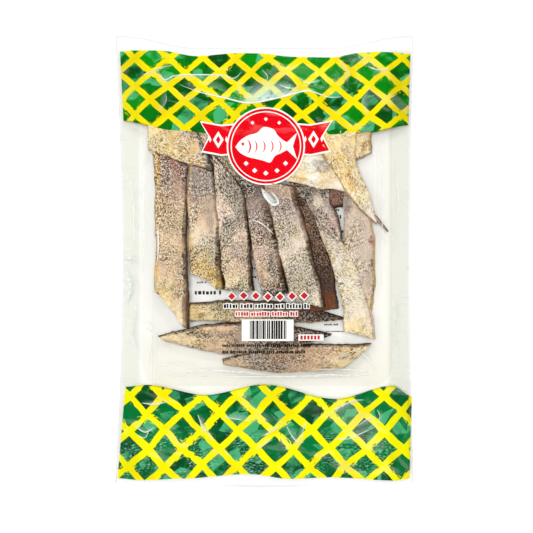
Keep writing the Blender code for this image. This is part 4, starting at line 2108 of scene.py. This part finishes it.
# Each has its name, x, y, heading, length, width, head cut and taper, foot cut and taper, bow,
# base, roll, pitch and skin, as in Strip.
STRIPS = (
    Strip("brown_scrap", 45.6, 42.4, 4.0, 19, 11.0, 5, 0.90, 4, 0.90, 0.0, 2.6, 3, 2,
          FishSkin(((0.1, Tone.PLUM), (0.9, Tone.UMBER)), right=Tone.FLESH, right_reach=1.8,
                   cream=0.35)),
    Strip("right_grey_strip", 64.1, 4.6, 92.5, 80.6, 20.4, 8, 0.80, 0, 0.60, 0.0, 2.4, 4, 2,
          FishSkin(((0.02, Tone.STRAW), (0.2, Tone.PUTTY), (0.85, Tone.PUTTY)), left=Tone.ROSE,
                   right=Tone.OCHRE, right_reach=1.6, flesh=Tone.STRAW, ends=Tone.TAUPE,
                   dark_speck=0.34, speck=2.6, stroke=440.0, mottle=(0.55, 0.48),
                   # The ash patch is painted shade at the upper left corner, where it runs under
                   # the upper right strip.
                   patches=(Patch(33, 8.0, 11, 4.4, Tone.ASH), Patch(10, -8.6, 4.6, 2.2, Tone.PLUM),
                            Patch(-6, -9.0, 3.2, 1.8, Tone.PLUM)))),
    Strip("badge_strip", -20.6, 75.4, 313.0, 72, 28.0, 0, 0.80, 0, 0.90, 0.0, 2.6, 3, -1,
          FishSkin(((0.4, Tone.SAND), (0.9, Tone.TAUPE)), right=Tone.MOLE)),
    Strip("corner_strip", 58.8, 86.0, 95.0, 36, 25.0, 0, 0.90, 8, 0.90, 0.0, 2.4, 2, 0,
          PaleSkin(((0.1, Tone.IVORY), (0.9, Tone.SAND)), flesh=Tone.SAND, ends=Tone.TAN,
                   right=Tone.GOLD, mottle=(0.66, 0.66), stroke=420.0, fibre_turn=-20.0,
                   patches=(Patch(-11, -8.0, 4.5, 3.4, Tone.OCHRE),))),
    Strip("upper_left_strip", -59.8, 83.2, 163.0, 40, 28.0, -8, 0.95, 22, 1.00, 0.0, 3.6, 2, 2,
          PaleSkin(((0.1, Tone.SAND), (0.5, Tone.STRAW), (0.9, Tone.IVORY)), left=Tone.TAN,
                   mottle=(0.8, 0.8), stroke=420.0, dark_speck=0.40, ends_reach=0.6, foot=Tone.SOOT,
                   foot_reach=5.0, flesh=Tone.TAUPE,
                   patches=(Patch(-3, 6, 6, 3.5, Tone.TAN), Patch(12, 2, 4, 5, Tone.STRAW),
                            Patch(-6, -5, 8, 4, Tone.PUTTY), Patch(2, -7, 2.5, 1.6, Tone.UMBER)))),
    # The soot in its middle and along its left edge is partly its own dark flesh and partly painted
    # shade, where it lies deep between its neighbours.
    Strip("dark_strip", 34.5, 5.2, 97.0, 78, 22.0, 0, 0.72, 0, 0.85, 0.0, 3.4, 3, 1.5,
          FishSkin(((0.1, Tone.RUST), (0.2, Tone.SOOT), (0.4, Tone.SOOT), (0.6, Tone.UMBER),
                   (0.9, Tone.UMBER)), left=Tone.SOOT, right=Tone.UMBER, right_reach=2.6,
                   flesh=Tone.SOOT, cream=0.22, mottle=(0.05, 1.5), fibre=4.2, fibre_turn=6.0,
                   patches=(Patch(-4, 7, 14, 4, Tone.SOOT),))),
    Strip("pale_long_strip", 50.8, -11.5, 108.8, 82, 16.0, 5, 0.44, -12, 1.15, -5.5, 4.6, 4, 1,
          PaleSkin(((0.02, Tone.IVORY), (0.2, Tone.BONE), (0.55, Tone.CHALK), (0.85, Tone.PUTTY)),
                   left=Tone.TAN, left_reach=1.8, right=Tone.ROSE, flesh=Tone.BLUSH, ends=Tone.ROSE,
                   mottle=(0.62, 0.7), dark_speck=0.45, fibre_turn=-24.0,
                   patches=(Patch(-4, 6.2, 1.0, 2.6, Tone.RUST),
                            Patch(12, 6.0, 3.0, 2.4, Tone.GOLD)))),
    Strip("grey_wedge_strip", 40.3, 32.2, 118.6, 43, 14.0, 18, 1.57, 0, 0.24, 0.0, 6.2, -3, -4,
          FishSkin(((0.05, Tone.BONE), (0.3, Tone.ROSE), (0.7, Tone.BONE), (0.95, Tone.MOLE)),
                   left=Tone.ROSE, left_reach=2.2, right=Tone.UMBER, cream=0.45, mottle=(1.5, 1.5),
                   fibre=4.2, fibre_turn=10.0,
                   patches=(Patch(-14, 0, 5, 1.6, Tone.FLESH), Patch(8, 6, 12, 4, Tone.ASH, 0.7),
                            Patch(4, -6, 12, 4, Tone.MOLE, 0.7),
                            Patch(18, 3, 5, 6, Tone.ASH, 0.6))),
          bared=(0.8, 0.8)),
    Strip("cream_strip", 33.8, 64.1, 167.5, 52, 28.4, 0, 0.90, 0, 0.85, 0.0, 5.4, 3, 0,
          PaleSkin(((0.05, Tone.CHALK), (0.3, Tone.BONE), (0.55, Tone.CHALK), (0.9, Tone.IVORY)),
                   left=Tone.SAND, flesh=Tone.TAUPE, mottle=(0.28, 0.4), dark_speck=0.5,
                   fibre_turn=-36.0,
                   # The first patch is painted shadow, cast by the upper right strip's edge.
                   patches=(Patch(-6, -2, 9, 6, Tone.MOLE, 0.65),
                            Patch(9, 10.5, 7, 2.4, Tone.STRAW)))),
    Strip("spine", 76.7, 27.3, 129.5, 20, 2.0, 0, 1.00, 0, 0.50, 0.0, 6.6, 0, 0,
          FishSkin(((0.05, Tone.UMBER), (0.5, Tone.TAUPE), (0.9, Tone.SAND)), left=Tone.FLESH,
                   left_reach=0.4, right_reach=0.4, mottle=(0.6, 0.6))),
    Strip("upper_right_strip", 60.0, 58.2, 296.0, 73, 15.5, 0, 0.08, -14, 2.40, -3.2, 6.8, -4, -1,
          PaleSkin(((0.05, Tone.IVORY), (0.35, Tone.STRAW), (0.6, Tone.IVORY), (0.9, Tone.CHALK)),
                   left=Tone.TAN, right=Tone.UMBER, right_reach=1.6, flesh=Tone.TAN,
                   mottle=(0.56, 0.56), dark_speck=0.42, fibre_turn=30.0,
                   patches=(Patch(4, -1, 8, 4, Tone.GOLD, 0.6),
                            Patch(-16, 6, 8, 5, Tone.SAND, 0.6)))),
    Strip("low_first_strip", -0.6, -36.0, 177.9, 101, 14.6, 0, 0.85, 8, 0.22, -1.5, 3.4, 4, 0,
          FishSkin(((0.05, Tone.SOOT), (0.2, Tone.UMBER), (0.5, Tone.TAUPE), (0.85, Tone.IVORY),
                   (0.97, Tone.STRAW)), right=Tone.RUST, right_reach=1.4, cream=0.35,
                   mottle=(1.4, 1.4),
                   patches=(Patch(-38, 0, 13, 9, Tone.SOOT, 0.8),
                            Patch(42, 2, 3.5, 2.2, Tone.OCHRE))), bared=(0.8, 0.8)),
    Strip("second_strip", -40.6, 24.6, 92.4, 77, 22.5, 6, 0.74, -12, 1.00, 0.0, 4.6, -4, 1,
          FishSkin(((0.08, Tone.HONEY), (0.2, Tone.STRAW), (0.35, Tone.BONE), (0.55, Tone.SAND),
                   (0.8, Tone.MOLE)), left=Tone.GOLD, left_reach=2.6, ends=Tone.ROSE,
                   ends_reach=1.2, flesh=Tone.SOOT, foot=Tone.STRAW, foot_reach=6.4,
                   mottle=(0.75, 0.50), lift=0.10, hue=0.3,
                   patches=(Patch(-20, 9, 13, 3.6, Tone.TAN, 0.8),
                            Patch(4, -6, 12, 5, Tone.MOLE, 0.6),
                            Patch(-2, 3, 9, 5, Tone.BLUSH, 0.6))), bared=(4.4, 2.0)),
    Strip("fourth_strip", -1.2, 19.0, 101.5, 86, 19.5, 0, 0.90, 0, 0.90, 0.0, 4.8, -4, 1,
          FishSkin(((0.03, Tone.UMBER), (0.2, Tone.SAND), (0.5, Tone.ROSE), (0.85, Tone.SOOT)),
                   left=Tone.TAN, left_reach=1.0, flesh=Tone.FLESH, mottle=(1.1, 0.38),
                   # The flesh patch along the right edge is partly its dark cut flesh and partly
                   # painted shade under the fifth strip's edge.
                   patches=(Patch(12, -7.5, 14, 2.6, Tone.FLESH, 0.9),
                            Patch(-25, -3, 9, 6, Tone.ASH, 0.7),
                            Patch(-12, 3, 6, 5, Tone.ROSE, 0.55),
                            Patch(-3, 2, 5, 4, Tone.PLUM, 0.6),
                            Patch(12, 3, 12, 6, Tone.MAUVE, 0.5))), bared=(3.4, 5.2)),
    Strip("first_strip", -63.2, 18.6, 90.4, 103, 20.6, 11, 1.12, -25, 1.12, 0.0, 6.0, -5, -1,
          FishSkin(((0.05, Tone.IVORY), (0.2, Tone.SAND), (0.6, Tone.SAND), (0.8, Tone.TAUPE),
                   (0.95, Tone.PLUM)), left=Tone.GOLD, left_reach=4.2, right_reach=1.3,
                   flesh=Tone.UMBER, mottle=(0.65, 0.62),
                   patches=(Patch(36, 9.6, 22, 4.4, Tone.GOLD, 1.0),
                            Patch(-40, 2, 12, 7, Tone.STRAW, 0.6),
                            Patch(38, 1, 10, 7, Tone.MOLE, 0.5))), bared=(3.0, 0.2)),
    Strip("third_strip", -20.8, 20.2, 95.0, 81, 19.8, 26, 0.97, -2, 0.95, 0.0, 7.8, -5, -1,
          FishSkin(((0.05, Tone.IVORY), (0.2, Tone.SAND), (0.6, Tone.BLUSH)), left_reach=1.0,
                   ends=Tone.UMBER, ends_reach=1.8, flesh=Tone.FLESH, mottle=(1.8, 1.5),
                   patches=(Patch(5, 4.6, 4.6, 2.4, Tone.UMBER, 0.75),
                            Patch(-12, -1, 9, 6, Tone.MOLE, 0.5),
                            Patch(22, 2, 9, 5, Tone.TAUPE, 0.5),
                            Patch(32, -1, 12, 8, Tone.MOLE, 0.55))), bared=(1.8, 1.2)),
    Strip("fifth_strip", 19.5, 11.7, 102.9, 83.5, 21.0, 8, 0.92, -10, 1.00, 0.0, 7.95, -6, -1,
          FishSkin(((0.05, Tone.BONE), (0.5, Tone.BONE), (0.8, Tone.MAUVE), (0.95, Tone.TAUPE)),
                   left_reach=1.0, dark_speck=0.32, flesh=Tone.UMBER, mottle=(1.2, 0.62),
                   patches=(Patch(8, -5, 9, 3.4, Tone.TAN, 0.6),
                            Patch(-14, 3, 16, 5, Tone.BLUSH, 0.5),
                            Patch(28, 3, 9, 6, Tone.MOLE, 0.5))), bared=(1.0, 3.2)),
    Strip("low_second_strip", -14.0, -52.0, 180.5, 112, 21.5, -6, 0.18, -8, 0.16, 0.0, 3.4, -4, 0,
          FishSkin(((0.05, Tone.SOOT), (0.2, Tone.UMBER), (0.42, Tone.MOLE), (0.65, Tone.SAND),
                   (0.95, Tone.IVORY)), left=Tone.SAND, left_reach=2.6, right=Tone.FLESH,
                   right_reach=1.6, cream=0.42, speck=2.6, stroke=460.0, mottle=(1.35, 1.0),
                   patches=(Patch(22, -4, 16, 3.5, Tone.MOLE, 0.6),))),
    Strip("low_third_strip", 17.2, -66.4, 182.0, 91, 17.5, 0, 0.18, -20, 0.93, 0.0, 2.8, -3, 0,
          FishSkin(((0.03, Tone.IVORY), (0.2, Tone.SAND), (0.5, Tone.TAUPE), (0.75, Tone.MOLE),
                   (0.97, Tone.SAND)), left=Tone.TAN, right=Tone.UMBER, right_reach=1.2,
                   mottle=(0.7, 0.9), cream=0.46, speck=2.6, stroke=460.0)),
)


@dataclass
class Studio:
    """The pale floor, the soft lights and the camera straight above the bag."""

    lens: float = 85.0
    sensor: float = 36.0
    frame_side: float = 0.3624
    aim_x: float = 0.00136
    aim_y: float = -0.0034
    floor_size: float = 6.0
    floor_drop: float = 0.0002
    world_strength: float = 0.42

    def hang(self, light: bpy.types.Light, place: tuple[float, float, float],
             energy: float) -> bpy.types.Object:
        """Hangs a light that faces the bag.

        Args:
            light: the light.
            place: where it hangs.
            energy: its power.

        Returns:
            Its object.
        """
        light.energy = energy
        lamp = bpy.data.objects.new(light.name, light)
        lamp.location = place
        lamp.rotation_euler = Vector(place).to_track_quat("Z", "Y").to_euler()
        bpy.context.scene.collection.objects.link(lamp)
        return lamp

    def soft_light(self, name: str, place: tuple[float, float, float], size: float,
                   energy: float) -> None:
        """Adds a square soft light.

        Args:
            name: its name.
            place: where it hangs.
            size: its side in metres.
            energy: its power in watts.
        """
        light = bpy.data.lights.new(name, "AREA")
        light.size = size
        self.hang(light, place, energy)

    def broad_light(self, name: str, place: tuple[float, float, float], strength: float,
                    spread: float, mirrored: bool) -> None:
        """Adds a light that is alike all over the scene.

        Args:
            name: its name.
            place: the way that it shines from.
            strength: its power in watts to a square metre.
            spread: how large it looks, in degrees.
            mirrored: whether it shows in gloss.
        """
        light = bpy.data.lights.new(name, "SUN")
        light.angle = radians(spread)
        self.hang(light, place, strength).visible_glossy = mirrored

    def build(self) -> None:
        """Builds the floor, the lights, the world and the camera."""
        scene = bpy.context.scene
        scene.view_settings.view_transform = "Standard"
        scene.view_settings.look = "None"
        world = bpy.data.worlds.new("studio_air")
        world.use_nodes = True
        air = world.node_tree.nodes["Background"]
        air.inputs["Color"].default_value = WHITE
        air.inputs["Strength"].default_value = self.world_strength
        scene.world = world
        ground = bmesh.new()
        bmesh.ops.create_grid(ground, x_segments=1, y_segments=1, size=self.floor_size / 2.0)
        bmesh.ops.translate(ground, vec=(0.0, 0.0, -self.floor_drop), verts=ground.verts[:])
        object_of(ground, "ground", [PaleGround().material()], smooth=False)
        self.broad_light("overhead_light", (-0.10, 0.05, 1.0), strength=1.95, spread=32.0,
                         mirrored=False)
        self.broad_light("side_light", (-0.75, 0.35, 0.80), strength=0.30, spread=14.0,
                         mirrored=True)
        self.soft_light("glint_light", (0.10, 0.75, 0.75), size=0.16, energy=1.3)
        data = bpy.data.cameras.new("camera")
        data.lens = self.lens
        data.sensor_width = self.sensor
        camera = bpy.data.objects.new("camera", data)
        camera.location = (self.aim_x, self.aim_y, self.frame_side * self.lens / self.sensor)
        scene.collection.objects.link(camera)
        scene.camera = camera


TOP_BAND_UPPER = WavyEdge((
    (-98.5, 142.4), (-87.4, 143.2), (-71.7, 143.2), (-45.9, 139.2), (-16.7, 141.3), (-5.8, 141.1),
    (20.0, 138.6), (45.2, 138.2), (66.3, 141.6), (79.2, 142.3), (99.0, 140.9)))
TOP_BAND_LOWER = WavyEdge((
    (-96.0, 95.3), (-61.5, 88.5), (-23.5, 84.9), (0.3, 84.6), (43.2, 85.1), (71.7, 87.7),
    (98.0, 92.6)))
FOOT_BAND_UPPER = WavyEdge((
    (-94.5, -85.2), (-80.0, -83.9), (-40.0, -90.7), (-0.3, -83.6), (48.0, -93.4), (87.0, -84.5),
    (100.5, -91.8)))
FOOT_BAND_LOWER = WavyEdge((
    (-100.0, -147.2), (-84.0, -148.5), (-56.8, -147.4), (-11.2, -144.3), (18.0, -147.6),
    (44.5, -146.6), (89.4, -148.7), (98.5, -147.4)))


TOP_LATTICE = LatticeInk(
    "top_lattice", pitch_x=0.0226, pitch_y=0.0194, middle_x=-0.0085, middle_y=0.1377,
    half_stroke=0.0021, yellow=screen(238, 224, 0), deep_yellow=screen(228, 206, 0))
FOOT_LATTICE = LatticeInk(
    "foot_lattice", pitch_x=0.0247, pitch_y=0.0245, middle_x=-0.0058, middle_y=-0.1146,
    half_stroke=0.0024, green=screen(0, 118, 56), deep_green=screen(0, 70, 32),
    yellow=screen(246, 243, 0), deep_yellow=screen(240, 226, 0), crinkled_from=-0.117)


def main() -> None:
    """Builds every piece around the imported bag."""
    logging.basicConfig(level=logging.INFO, format="%(name)s %(message)s")
    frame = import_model()
    Studio().build()
    form = FilmForm(frame["nodes"]["bag"], BagPlan())
    FilmBag(form).build()
    CreaseGlints(form).build()
    inked = Print(form)
    LatticeBand(inked, "top_band", TOP_LATTICE, left=(-0.0955, -0.0981), right=(0.0976, 0.0989),
                lower=TOP_BAND_LOWER, upper=TOP_BAND_UPPER).build()
    LatticeBand(inked, "foot_band", FOOT_LATTICE, left=(-0.0999, -0.0942), right=(0.0983, 0.1003),
                lower=FOOT_BAND_LOWER, upper=FOOT_BAND_UPPER).build()
    Emblem(inked).build()
    Label(inked).build()
    BackPanel().build()
    Tray().build()
    for strip in STRIPS:
        strip.build()


if __name__ == "__main__":
    main()
